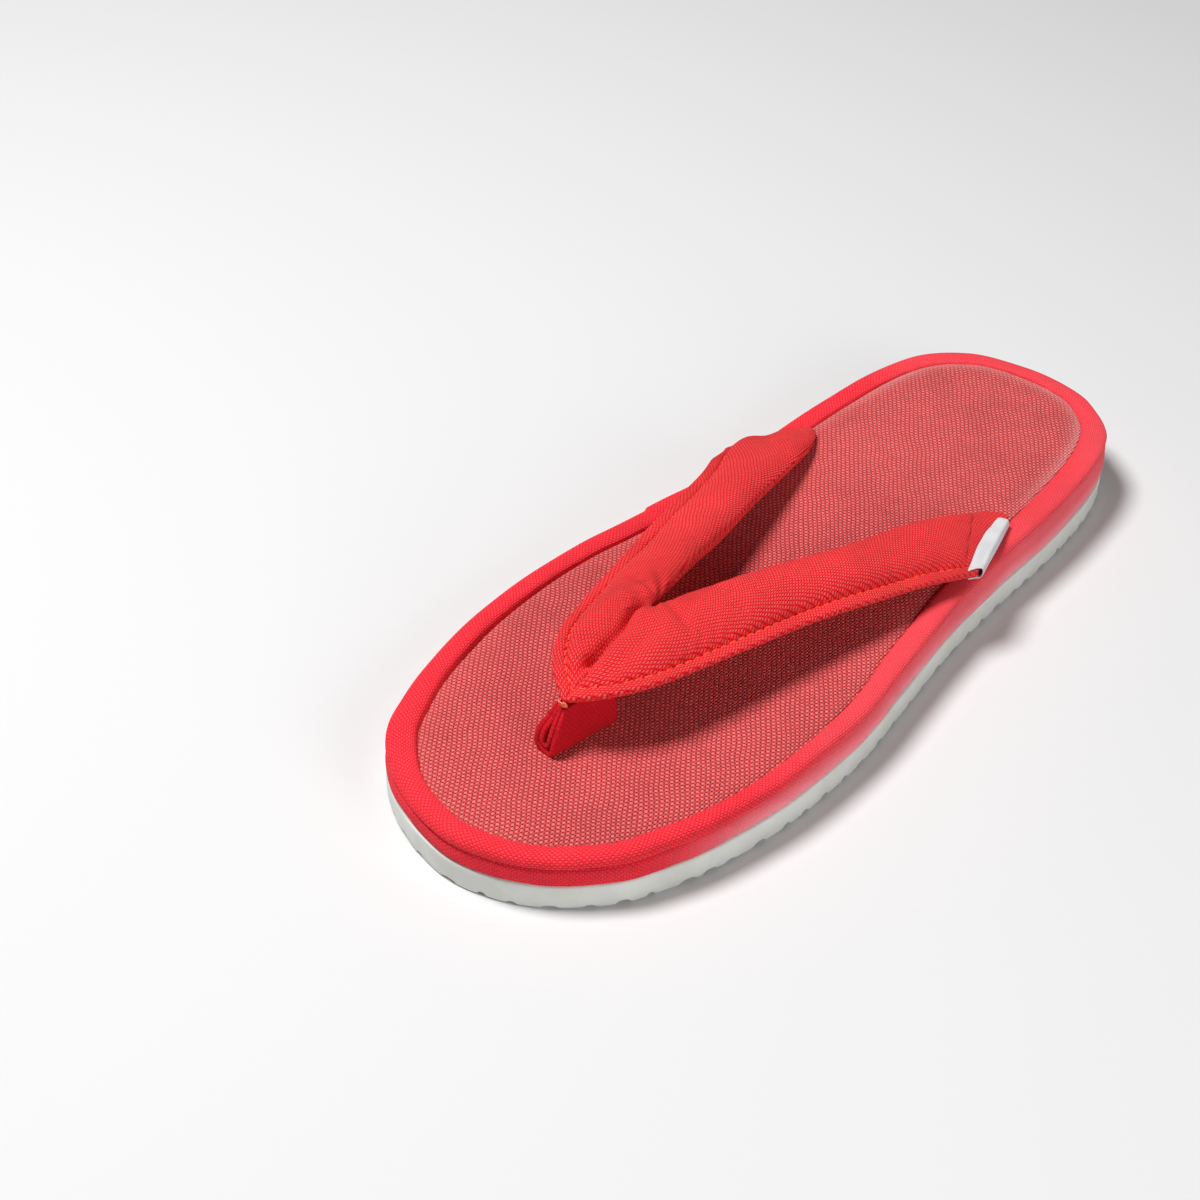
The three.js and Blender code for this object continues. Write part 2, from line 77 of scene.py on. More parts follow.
def soft_noise(u: np.ndarray, v: np.ndarray, size: float, seed: int) -> np.ndarray:
    """Smooth unevenness between about -1 and 1.

    Args:
        u: First coordinate in millimetres.
        v: Second coordinate in millimetres.
        size: Width of the lumps in millimetres.
        seed: Picks the lumps, so each piece has its own and keeps them.

    Returns:
        One value for each coordinate pair.
    """
    rng = np.random.default_rng(seed)
    total = np.zeros(np.broadcast(u, v).shape)
    waves = 9
    for _ in range(waves):
        turn, phase = rng.uniform(0.0, 2.0 * math.pi, 2)
        pitch = size * rng.uniform(0.7, 1.6)
        along = np.cos(turn) * u + np.sin(turn) * v
        total += np.sin(2.0 * math.pi * along / pitch + phase)
    return total / math.sqrt(waves)


def column_at(rows: Sequence[NamedTuple], column: str, station: np.ndarray) -> np.ndarray:
    """Value of one column of a table at a station, smoothed between its rows.

    Args:
        rows: The table.
        column: Name of the column.
        station: Stations wanted.

    Returns:
        One value for each station.
    """
    stations = np.array([r.station for r in rows])
    values = np.array([getattr(r, column) for r in rows])
    i = np.clip(np.searchsorted(stations, station, side="right") - 1, 0, len(rows) - 2)
    u = smooth((station - stations[i]) / (stations[i + 1] - stations[i]), 0.0, 1.0)
    return values[i] + u * (values[i + 1] - values[i])


def run_along(points: np.ndarray) -> np.ndarray:
    """Distance of each point along a line of them."""
    return np.concatenate([[0.0], np.cumsum(np.linalg.norm(np.diff(points, axis=0), axis=1))])


def curve_through(points: np.ndarray, closed: bool, count: int) -> np.ndarray:
    """Evenly spaced points on a centripetal Catmull-Rom curve.

    Args:
        points: Corner points, one to a row.
        closed: True for a loop.
        count: Number of points wanted.

    Returns:
        An array of count points; a loop's first point isn't repeated at its end.
    """
    n = len(points)
    fine = []
    for i in range(n if closed else n - 1):
        if closed:
            p0, p1, p2, p3 = (points[(i + k) % n] for k in (-1, 0, 1, 2))
        else:
            p1, p2 = points[i], points[i + 1]
            p0 = points[i - 1] if i else 2 * p1 - p2
            p3 = points[i + 2] if i + 2 < n else 2 * p2 - p1
        pairs = ((p0, p1), (p1, p2), (p2, p3))
        d0, d1, d2 = (max(1e-4, float(np.linalg.norm(b - a)) ** 0.5) for a, b in pairs)
        m1 = ((p1 - p0) / d0 - (p2 - p0) / (d0 + d1) + (p2 - p1) / d1) * d1
        m2 = ((p2 - p1) / d1 - (p3 - p1) / (d1 + d2) + (p3 - p2) / d2) * d1
        for u in np.linspace(0.0, 1.0, 40, endpoint=False):
            fine.append(
                (2 * u**3 - 3 * u**2 + 1) * p1 + (u**3 - 2 * u**2 + u) * m1
                + (3 * u**2 - 2 * u**3) * p2 + (u**3 - u**2) * m2
            )
    fine.append(points[0] if closed else points[-1])
    fine = np.array(fine)
    run = run_along(fine)
    wanted = np.linspace(0.0, run[-1], count + 1 if closed else count)[:count]
    return np.stack([np.interp(wanted, run, fine[:, k]) for k in range(fine.shape[1])], axis=1)


def run_lengths(points: np.ndarray, axis: int) -> np.ndarray:
    """Distance along a grid of points, from its first row or column.

    Args:
        points: Rows and columns of places.
        axis: 0 to run along rows, 1 along columns.

    Returns:
        One distance for each place.
    """
    step = np.linalg.norm(np.diff(points, axis=axis), axis=2)
    start = np.zeros_like(np.take(step, [0], axis=axis))
    return np.cumsum(np.concatenate([start, step], axis=axis), axis=axis)


# Mesh tools


def deselect_all() -> None:
    """Leaves nothing selected."""
    for obj in bpy.context.selected_objects:
        obj.select_set(False)


def make_active(obj: bpy.types.Object) -> None:
    """Selects one object alone and makes it active.

    Args:
        obj: The object.
    """
    deselect_all()
    obj.select_set(True)
    bpy.context.view_layer.objects.active = obj


def edit(obj: bpy.types.Object, *steps: Callable[[], object]) -> None:
    """Runs edit-mode operators on the whole of an object.

    Args:
        obj: The object.
        steps: Operators to run in order.
    """
    make_active(obj)
    bpy.ops.object.mode_set(mode="EDIT")
    bpy.ops.mesh.select_all(action="SELECT")
    for step in steps:
        step()
    bpy.ops.object.mode_set(mode="OBJECT")


def finish_shape(obj: bpy.types.Object, merge: float = 0.002, closed: bool = False) -> None:
    """Merges doubled corners, closes open ends, turns the faces outward and shades them smooth.

    Args:
        obj: The piece.
        merge: Distance in millimetres within which corners merge.
        closed: True to put one face in each open end.
    """
    edit(obj, lambda: bpy.ops.mesh.remove_doubles(threshold=merge * MM))
    if closed:
        edit(
            obj,
            lambda: bpy.ops.mesh.select_all(action="DESELECT"),
            lambda: bpy.ops.mesh.select_non_manifold(extend=False, use_wire=False, use_multi_face=False),
            lambda: bpy.ops.mesh.edge_face_add(),
        )
    edit(
        obj,
        lambda: bpy.ops.mesh.normals_make_consistent(inside=False),
        lambda: bpy.ops.mesh.faces_shade_smooth(),
    )
    if enclosed(obj) < 0.0:
        edit(obj, lambda: bpy.ops.mesh.flip_normals())


def enclosed(obj: bpy.types.Object) -> float:
    """Volume inside a piece in cubic millimetres, below zero where its faces look inward.

    Args:
        obj: The piece, with its ends closed.

    Returns:
        The signed volume.
    """
    obj.data.calc_loop_triangles()
    corner = np.zeros(3 * len(obj.data.loop_triangles), int)
    obj.data.loop_triangles.foreach_get("vertices", corner)
    a, b, c = corners_of(obj)[corner.reshape(-1, 3)].transpose(1, 0, 2)
    return float((a * np.cross(b, c)).sum() / 6.0)


def shaped_grid(name: str, points: np.ndarray, cloth: np.ndarray) -> bpy.types.Object:
    """A flat grid primitive shaped into a surface.

    Args:
        name: Name of the piece.
        points: Rows and columns of places in millimetres.
        cloth: Rows and columns of places on the flat cloth in millimetres.

    Returns:
        The new object, with its place in its mesh and the cloth places in its UV map.
    """
    rows, columns = points.shape[:2]
    deselect_all()
    bpy.ops.mesh.primitive_grid_add(x_subdivisions=columns - 1, y_subdivisions=rows - 1, size=1.0)
    obj = bpy.context.object
    obj.name = obj.data.name = name
    mesh = obj.data
    flat = np.zeros(len(mesh.vertices) * 3)
    mesh.vertices.foreach_get("co", flat)
    flat = flat.reshape(-1, 3)
    c = np.rint((flat[:, 0] + 0.5) * (columns - 1)).astype(int)
    r = np.rint((flat[:, 1] + 0.5) * (rows - 1)).astype(int)
    mesh.vertices.foreach_set("co", (points[r, c] * MM).ravel())
    corner = np.zeros(len(mesh.loops), int)
    mesh.loops.foreach_get("vertex_index", corner)
    layer = mesh.uv_layers[0]
    layer.name = CLOTH_MAP
    layer.data.foreach_set("uv", cloth[r[corner], c[corner]].ravel())
    mesh.update()
    return obj


def apply_modifier(obj: bpy.types.Object, kind: str, **settings: object) -> None:
    """Adds a modifier with its settings and applies it.

    Args:
        obj: The piece.
        kind: Type of the modifier.
        settings: Its properties.
    """
    make_active(obj)
    modifier = obj.modifiers.new(kind.lower(), kind)
    for key, value in settings.items():
        setattr(modifier, key, value)
    bpy.ops.object.modifier_apply(modifier=modifier.name)


def corners_of(obj: bpy.types.Object) -> np.ndarray:
    """Places of a mesh's corners in millimetres, one to a row.

    Args:
        obj: The piece.

    Returns:
        One place for each corner.
    """
    flat = np.zeros(len(obj.data.vertices) * 3)
    obj.data.vertices.foreach_get("co", flat)
    return flat.reshape(-1, 3) / MM


def paint_light_and_dust(obj: bpy.types.Object, light_share: Callable[[np.ndarray, np.ndarray, np.ndarray], np.ndarray]) -> None:
    """Notes at each corner the share of paler cloth: painted light, broken up like dust.

    Args:
        obj: The cloth piece.
        light_share: Gives a share from places in millimetres.
    """
    x, y, z = corners_of(obj).T
    layer = obj.data.attributes.new(LIGHT_AND_DUST_LAYER, "FLOAT", "POINT")
    layer.data.foreach_set("value", np.clip(light_share(x, y, z), 0.0, 1.0))


def join(name: str, parts: list[bpy.types.Object]) -> bpy.types.Object:
    """Joins pieces into one object.

    Args:
        name: Name of the joined piece.
        parts: Pieces to join.

    Returns:
        The joined piece.
    """
    deselect_all()
    for part in parts:
        part.select_set(True)
    bpy.context.view_layer.objects.active = parts[0]
    bpy.ops.object.join()
    joined = bpy.context.object
    joined.name = joined.data.name = name
    return joined


# Filling


@dataclass(frozen=True)
class Stuffing:
    """Soft filling pressed against its sewn cover, worked out with the cloth solver.

    The cover is made larger for the solver, because it works best on sizes of about a metre.
    """

    pressure: float = 4.0
    ease: float = 0.02
    reach: float = 0.7
    larger: float = 30.0
    last_frame: int = 20

    def press(self, obj: bpy.types.Object, held: np.ndarray) -> None:
        """Args:
            obj: The cover, with its ends closed.
            held: True for each corner that is sewn down.
        """
        start = corners_of(obj)
        copy = bpy.data.objects.new("pressed_cover", obj.data.copy())
        bpy.context.scene.collection.objects.link(copy)
        copy.data.transform(Matrix.Scale(self.larger, 4))
        sewn = copy.vertex_groups.new(name="sewn")
        sewn.add([int(i) for i in np.flatnonzero(held)], 1.0, "REPLACE")
        modifier = copy.modifiers.new("cloth", "CLOTH")
        settings = modifier.settings
        settings.quality = 6
        settings.mass = 0.006
        settings.tension_stiffness = settings.compression_stiffness = 18.0
        settings.shear_stiffness = 6.0
        settings.bending_stiffness = 0.12
        settings.use_pressure = True
        settings.uniform_pressure_force = self.pressure
        settings.shrink_min = -self.ease
        settings.vertex_group_mass = sewn.name
        settings.effector_weights.gravity = 0.0
        modifier.collision_settings.use_collision = False
        modifier.point_cache.frame_start, modifier.point_cache.frame_end = 1, self.last_frame
        for frame in range(1, self.last_frame + 1):
            bpy.context.scene.frame_set(frame)
        solved = copy.evaluated_get(bpy.context.evaluated_depsgraph_get())
        moved = corners_of(solved) / self.larger - start
        bpy.data.objects.remove(copy)
        bpy.context.scene.frame_set(1)
        size = np.linalg.norm(moved, axis=1, keepdims=True)
        limit = self.reach * np.tanh(size / self.reach) / np.maximum(size, 1e-9)
        obj.data.vertices.foreach_set("co", ((start + moved * limit) * MM).ravel())
        obj.data.update()
        LOG.info("%s: filling moved the cover by up to %.2f mm", obj.name, float((size * limit).max()))


# Finishes


def linear(hex_colour: str) -> tuple[float, float, float, float]:
    """Linear colour of an sRGB hex value."""
    channels = [int(hex_colour[i : i + 2], 16) / 255.0 for i in (1, 3, 5)]
    return (*[c / 12.92 if c <= 0.04045 else ((c + 0.055) / 1.055) ** 2.4 for c in channels], 1.0)


Term = float | tuple[float, ...] | bpy.types.NodeSocket
BLEND = {"data_type": "RGBA"}
TINT = {"data_type": "RGBA", "blend_type": "MULTIPLY"}
SOFT = {"interpolation_type": "SMOOTHSTEP"}


def node(
    tree: bpy.types.NodeTree,
    kind: str,
    terms: Sequence[Term] | dict[str | int, Term] = (),
    **settings: object,
) -> Sequence[bpy.types.NodeSocket]:
    """Adds a shader node.

    Args:
        tree: The material's node tree.
        kind: Node type, without its ShaderNode prefix.
        terms: Input values, or the outputs that feed them, in order or by socket name or number.
        settings: Properties of the node.

    Returns:
        The outputs of the new node.
    """
    made = tree.nodes.new("ShaderNode" + kind)
    for key, value in settings.items():
        setattr(made, key, value)
    for key, term in terms.items() if isinstance(terms, dict) else enumerate(terms):
        if isinstance(term, bpy.types.NodeSocket):
            tree.links.new(term, made.inputs[key])
        else:
            made.inputs[key].default_value = term
    return made.outputs


def shoe_places(tree: bpy.types.NodeTree) -> bpy.types.NodeSocket:
    """Places on the shoe in millimetres."""
    place = node(tree, "TexCoord")["Object"]
    return node(tree, "Mapping", {"Vector": place, "Scale": (1.0 / MM,) * 3})[0]


@dataclass(frozen=True)
class Finish:
    """A named finish, made as one Principled shader."""

    name: str

    def build(self) -> bpy.types.Material:
        """Makes the material.

        Returns:
            The new material.
        """
        material = bpy.data.materials.new(self.name)
        material.use_nodes = True
        tree = material.node_tree
        tree.nodes.clear()
        shader = node(tree, "BsdfPrincipled", self.surface(tree))
        node(tree, "OutputMaterial", {"Surface": shader[0]})
        return material

    def surface(self, tree: bpy.types.NodeTree) -> dict[str, Term]:
        """Inputs of the shader by name."""
        raise NotImplementedError


class MapKind(Enum):
    """Where a finish takes its places from."""

    CLOTH = "cloth"
    SHOE = "shoe"


@dataclass(frozen=True)
class PlainWeave(Finish):
    """Plain weave cotton cloth: threads over and under each other, matt, with a little fuzz.

    Pitches are thread spacings in millimetres. The eye sees lit thread tops, gaps between them
    darkened with painted shade, and slow changes of tone along each thread.
    """

    warp_pitch: float
    weft_pitch: float
    warp: str
    weft: str
    gap: str
    # Colour of the gaps between threads: painted shade in the weave's hollows.
    relief: float
    map_kind: MapKind = MapKind.CLOTH
    turn: float = 0.0
    roughness: float = 0.85
    sheen: float = 0.08
    slub: float = 0.2
    gap_shade_low: float = -0.2
    gap_shade_high: float = 0.75
    light_and_dust_tint: str | None = None

    def surface(self, tree: bpy.types.NodeTree) -> dict[str, Term]:
        """Woven threads with fuzz on them.

        Args:
            tree: The material's node tree.

        Returns:
            Shader inputs by name.
        """
        place = self._place(tree)
        grid = node(
            tree, "VectorMath", (place, (self.warp_pitch, self.weft_pitch, 1.0)), operation="DIVIDE"
        )[0]
        warp_over, height = self._threads(tree, grid)
        fuzz = node(tree, "TexNoise", {"Vector": place, "Scale": 5.5, "Detail": 3.0, "Roughness": 0.6})[0]
        relief = node(tree, "Math", (fuzz, 0.7, height), operation="MULTIPLY_ADD")[0]
        return {
            "Base Color": self._colour(tree, place, grid, warp_over, height),
            "Normal": node(tree, "Bump", {"Height": relief, "Distance": self.relief * MM})[0],
            "Roughness": self.roughness,
            "Sheen Weight": self.sheen,
            "Sheen Roughness": 0.45,
            "Sheen Tint": linear("#ff9a96"),
            "Specular IOR Level": 0.16,
        }

    def _place(self, tree: bpy.types.NodeTree) -> bpy.types.NodeSocket:
        """Places on the cloth in millimetres, with threads that wander a little.

        Args:
            tree: The material's node tree.

        Returns:
            The output that holds the places.
        """
        if self.map_kind is MapKind.CLOTH:
            source = node(tree, "UVMap", uv_map=CLOTH_MAP)[0]
        else:
            source = shoe_places(tree)
        turned = node(
            tree, "Mapping", {"Vector": source, "Rotation": (0.0, 0.0, math.radians(self.turn))}
        )[0]
        wander = node(tree, "TexNoise", {"Vector": turned, "Scale": 0.09, "Detail": 1.0})[1]
        either_way = node(tree, "VectorMath", (wander, (0.5, 0.5, 0.5)), operation="SUBTRACT")[0]
        return node(
            tree, "VectorMath", (either_way, (1.4, 1.4, 0.0), turned), operation="MULTIPLY_ADD"
        )[0]

    def _threads(
        self, tree: bpy.types.NodeTree, grid: bpy.types.NodeSocket
    ) -> tuple[bpy.types.NodeSocket, bpy.types.NodeSocket]:
        """Share of warp on top, and the height of the cloth's surface.

        Args:
            tree: The material's node tree.
            grid: Places counted in threads.

        Returns:
            The outputs that hold the share and the height.
        """
        half_turn = (math.pi,) * 3
        phase = node(tree, "VectorMath", (grid, half_turn), operation="MULTIPLY")[0]
        sine = node(tree, "VectorMath", (phase,), operation="SINE")[0]
        rounded = node(tree, "VectorMath", (sine,), operation="ABSOLUTE")[0]
        cell = node(tree, "VectorMath", (grid,), operation="FLOOR")[0]
        cell_phase = node(tree, "VectorMath", (cell, half_turn), operation="MULTIPLY")[0]
        over_or_under = node(tree, "VectorMath", (cell_phase,), operation="COSINE")[0]
        wave = node(tree, "SeparateXYZ", (sine,))
        turn = node(tree, "SeparateXYZ", (over_or_under,))
        round_top = node(tree, "SeparateXYZ", (rounded,))
        crimp, body = 0.5, 0.75
        heights = []
        for own, other, way in ((0, 1, crimp), (1, 0, -crimp)):
            bend = node(tree, "Math", (wave[other], turn[own]), operation="MULTIPLY")[0]
            bent = node(tree, "Math", (bend, way), operation="MULTIPLY")[0]
            heights.append(node(tree, "Math", (round_top[own], body, bent), operation="MULTIPLY_ADD")[0])
        above = node(tree, "Math", heights, operation="SUBTRACT")[0]
        over = node(tree, "MapRange", (above, -0.12, 0.12, 0.0, 1.0), **SOFT)[0]
        return over, node(tree, "Math", heights, operation="MAXIMUM")[0]

    def _colour(
        self,
        tree: bpy.types.NodeTree,
        place: bpy.types.NodeSocket,
        grid: bpy.types.NodeSocket,
        warp_over: bpy.types.NodeSocket,
        height: bpy.types.NodeSocket,
    ) -> bpy.types.NodeSocket:
        """Colour of the threads, painted shade in their gaps, slubs, the cloth's slow changes of tone, and
        painted light.

        Args:
            tree: The material's node tree.
            place: Places on the cloth in millimetres.
            grid: The same, counted in threads.
            warp_over: Share of warp on top.
            height: Height of the cloth's surface.

        Returns:
            The output that holds the colour.
        """
        threads = node(tree, "Mix", {0: warp_over, 6: linear(self.weft), 7: linear(self.warp)}, **BLEND)[2]
        lift = self._slubs(tree, grid, warp_over)
        threads = node(tree, "Mix", {0: 1.0, 6: threads, 7: lift}, **TINT)[2]
        # Painted shade: the low parts of the weave, the gaps between threads, take the dark gap colour.
        shown = node(tree, "MapRange", (height, self.gap_shade_low, self.gap_shade_high, 0.0, 1.0), **SOFT)[0]
        cloth = node(tree, "Mix", {0: shown, 6: linear(self.gap), 7: threads}, **BLEND)[2]
        broad = node(tree, "TexNoise", {"Vector": place, "Scale": 0.045, "Detail": 3.0})[0]
        dim = node(tree, "MapRange", (broad, 0.3, 0.7, 0.93, 1.05), **SOFT)[0]
        cloth = node(tree, "Mix", {0: 1.0, 6: cloth, 7: dim}, **TINT)[2]
        # Painted light: a paler tint where the piece marks it, broken up in patches like dust.
        if self.light_and_dust_tint is None:
            return cloth
        return node(tree, "Mix", {0: self._light_and_dust_patches(tree), 6: cloth, 7: linear(self.light_and_dust_tint)}, **BLEND)[2]

    def _slubs(
        self, tree: bpy.types.NodeTree, grid: bpy.types.NodeSocket, warp_over: bpy.types.NodeSocket
    ) -> bpy.types.NodeSocket:
        """Lightness of each thread, which changes slowly along it and from thread to thread.

        Args:
            tree: The material's node tree.
            grid: Places counted in threads.
            warp_over: Share of warp on top.

        Returns:
            The output that holds the lightness, about 1.
        """
        cell = node(tree, "SeparateXYZ", (node(tree, "VectorMath", (grid,), operation="FLOOR")[0],))
        free = node(tree, "SeparateXYZ", (grid,))
        slow = [node(tree, "Math", (free[i], 0.16), operation="MULTIPLY")[0] for i in (0, 1)]
        apart = [
            node(tree, "Math", (cell[i], spread), operation="MULTIPLY")[0]
            for i, spread in ((0, 7.31), (1, 5.77))
        ]
        ways = (
            node(tree, "CombineXYZ", (apart[0], slow[1], 3.0))[0],
            node(tree, "CombineXYZ", (slow[0], apart[1], 8.0))[0],
        )
        warp, weft = (node(tree, "TexNoise", {"Vector": way, "Scale": 1.0, "Detail": 2.0})[0] for way in ways)
        apart_by = node(tree, "Math", (warp, weft), operation="SUBTRACT")[0]
        tone = node(tree, "Math", (warp_over, apart_by, weft), operation="MULTIPLY_ADD")[0]
        uneven = node(tree, "Math", (tone, 0.5), operation="SUBTRACT")[0]
        return node(tree, "Math", (uneven, 2.0 * self.slub, 1.0), operation="MULTIPLY_ADD")[0]

    @staticmethod
    def _light_and_dust_patches(tree: bpy.types.NodeTree) -> bpy.types.NodeSocket:
        """Share of paler cloth, painted light where the piece marks it, broken up in soft patches like dust.

        Args:
            tree: The material's node tree.

        Returns:
            The output that holds the share.
        """
        shoe = node(tree, "TexCoord")["Object"]
        patch = node(tree, "TexNoise", {"Vector": shoe, "Scale": 60.0, "Detail": 4.0})[0]
        broken = node(tree, "MapRange", (patch, 0.25, 0.7, 0.75, 1.0), **SOFT)[0]
        light_share = node(tree, "Attribute", attribute_name=LIGHT_AND_DUST_LAYER)["Fac"]
        return node(tree, "Math", (light_share, broken), operation="MULTIPLY")[0]


@dataclass(frozen=True)
class FoamFinish(Finish):
    """Closed-cell foam, cut with a hot wire: light grey, matt, faintly mottled."""

    body: str
    mottle: str
    roughness: float = 0.55

    def surface(self, tree: bpy.types.NodeTree) -> dict[str, Term]:
        """Mottled foam with fine cells and the tread in its ground face.

        Args:
            tree: The material's node tree.

        Returns:
            Shader inputs by name.
        """
        place = shoe_places(tree)
        cloud = node(tree, "TexNoise", {"Vector": place, "Scale": 0.12, "Detail": 5.0})[0]
        share = node(tree, "MapRange", (cloud, 0.35, 0.7, 0.0, 1.0), **SOFT)[0]
        colour = node(tree, "Mix", {0: share, 6: linear(self.body), 7: linear(self.mottle)}, **BLEND)[2]
        # Foam cells are about 0.2 mm, drawn at 0.5 mm so that they show.
        cells = node(tree, "TexVoronoi", {"Vector": place, "Scale": 2.0})[0]
        grain = node(tree, "TexNoise", {"Vector": place, "Scale": 1.2, "Detail": 6.0})[0]
        relief = node(tree, "Math", (cells, 0.35, grain), operation="MULTIPLY_ADD")[0]
        relief = node(tree, "Math", (self._tread(tree, place), -9.0, relief), operation="MULTIPLY_ADD")[0]
        return {
            "Base Color": colour,
            "Normal": node(tree, "Bump", {"Height": relief, "Strength": 0.6, "Distance": 0.09 * MM})[0],
            "Roughness": self.roughness,
            "Specular IOR Level": 0.35,
        }

    @staticmethod
    def _tread(tree: bpy.types.NodeTree, place: bpy.types.NodeSocket) -> bpy.types.NodeSocket:
        """Fine zigzag grooves across the ground face, one to each notch of the edge.

        Args:
            tree: The material's node tree.
            place: Places on the shoe in millimetres.

        Returns:
            The output that is 1 in a groove.
        """
        part = node(tree, "SeparateXYZ", (place,))
        zigzag = node(tree, "Math", (part[0], 6.0), operation="PINGPONG")[0]
        ahead = node(tree, "Math", (part[1], zigzag), operation="ADD")[0]
        line = node(tree, "Math", (ahead, Notches().pitch), operation="DIVIDE")[0]
        repeat = node(tree, "Math", (line,), operation="FRACT")[0]
        centred = node(tree, "Math", (repeat, 0.5), operation="SUBTRACT")[0]
        groove = node(tree, "Math", (centred,), operation="ABSOLUTE")[0]
        cut = node(tree, "MapRange", (groove, 0.0, 0.13, 1.0, 0.0), **SOFT)[0]
        ground = node(tree, "MapRange", (part[2], 0.05, 0.6, 1.0, 0.0), **SOFT)[0]
        return node(tree, "Math", (cut, ground), operation="MULTIPLY")[0]


@dataclass(frozen=True)
class ThreadFinish(Finish):
    """Twisted polyester sewing thread: a little gloss, fine twist lines."""

    colour: str

    def surface(self, tree: bpy.types.NodeTree) -> dict[str, Term]:
        """Twist lines round the thread.

        Args:
            tree: The material's node tree.

        Returns:
            Shader inputs by name.
        """
        twist = node(tree, "TexWave", {"Vector": shoe_places(tree), "Scale": 0.9, "Distortion": 1.5})[1]
        return {
            "Base Color": linear(self.colour),
            "Normal": node(tree, "Bump", {"Height": twist, "Strength": 0.5, "Distance": 0.08 * MM})[0],
            "Roughness": 0.5,
            "Sheen Weight": 0.2,
        }


@dataclass(frozen=True)
class FloorFinish(Finish):
    """Pale seamless paper: flat and matt."""

    colour: str

    def surface(self, tree: bpy.types.NodeTree) -> dict[str, Term]:
        """Plain paper."""
        return {"Base Color": linear(self.colour), "Roughness": 0.9, "Specular IOR Level": 0.1}


# The gap colours below are painted shade in the weave's hollows.
INSOLE_CLOTH = PlainWeave(
    "coarse_cotton_insole", 0.7, 0.96, "#de4a4e", "#ff7a78", "#540408", 0.42,
    map_kind=MapKind.SHOE, slub=0.32, gap_shade_low=0.16, gap_shade_high=0.88, light_and_dust_tint="#f2a09e",
)
RIM_CLOTH = PlainWeave(
    "cotton_rim_binding", 0.56, 0.56, "#f82234", "#ff444e", "#b4061a", 0.17,
    gap_shade_low=0.0, gap_shade_high=0.8, light_and_dust_tint="#f2707a",
)
WALL_CLOTH = PlainWeave(
    "cotton_side_wrap", 0.56, 0.56, "#f22438", "#f83c4a", "#b40a1e", 0.14,
    gap_shade_low=0.0, gap_shade_high=0.8, light_and_dust_tint="#ff98a2",
)
STRAP_CLOTH = PlainWeave(
    "cotton_strap_cover", 0.56, 0.58, "#f6182c", "#ff5550", "#8e0010", 0.22,
    turn=28.0, gap_shade_low=0.08, gap_shade_high=0.92,
)
# Painted shade: the post's red is darker than the straps' to stand for the shade on its sides.
POST_CLOTH_PAINTED_SHADE = PlainWeave("cotton_post_band_painted_shade", 0.54, 0.54, "#c80c1e", "#d01828", "#780210", 0.12)
RIBBON = PlainWeave(
    "satin_label_ribbon", 0.3, 0.3, "#d6d5d8", "#dcdbde", "#c6c4c6", 0.03, roughness=0.55, slub=0.03
)
FOAM = FoamFinish("eva_foam_outsole", "#d4d6d0", "#dddfda")
ORANGE_THREAD = ThreadFinish("orange_topstitch_thread", "#ff4a1e")
# Painted highlight: the bar tack's orange thread is made paler to stand for the light on it.
BAR_TACK_THREAD_PAINTED_HIGHLIGHT = ThreadFinish("bar_tack_thread_painted_highlight", "#ff8a5c")
PAPER = FloorFinish("pale_paper_floor", "#d9d9d9")


def dress(obj: bpy.types.Object, material: bpy.types.Material) -> None:
    """Gives a piece its one material."""
    obj.data.materials.clear()
    obj.data.materials.append(material)


# The last


class HalfWidth(NamedTuple):
    """Half outline of the footbed: shares of half the length and half the width."""

    station: float
    width: float


class RimShare(NamedTuple):
    """Rim width on each side of the shoe, as shares of the nominal width."""

    station: float
    lateral: float
    medial: float


FOOTBED_HALF = (
    HalfWidth(-1, 0), HalfWidth(-0.985, 0.303), HalfWidth(-0.945, 0.475), HalfWidth(-0.9, 0.58),
    HalfWidth(-0.85, 0.639), HalfWidth(-0.77, 0.69), HalfWidth(-0.64, 0.73), HalfWidth(-0.5, 0.755),
    HalfWidth(-0.34, 0.774), HalfWidth(-0.17, 0.806), HalfWidth(0, 0.867), HalfWidth(0.1, 0.914),
    HalfWidth(0.2, 0.967), HalfWidth(0.34, 0.998), HalfWidth(0.5, 0.984), HalfWidth(0.6, 0.944),
    HalfWidth(0.72, 0.867), HalfWidth(0.8, 0.779), HalfWidth(0.86, 0.697), HalfWidth(0.93, 0.51),
    HalfWidth(0.96, 0.385), HalfWidth(0.985, 0.225), HalfWidth(1, 0),
)
RIM_SHARES = (
    RimShare(-1.0, 0.84, 0.84), RimShare(-0.97, 0.95, 0.9), RimShare(-0.88, 1.16, 1.02),
    RimShare(-0.64, 1.16, 1.02), RimShare(-0.34, 1.02, 0.98), RimShare(0.0, 1.0, 0.98),
    RimShare(0.22, 0.88, 0.97), RimShare(0.4, 0.8, 0.97), RimShare(0.66, 0.8, 1.02),
    RimShare(0.88, 0.82, 1.2), RimShare(1.0, 0.94, 0.94),
)


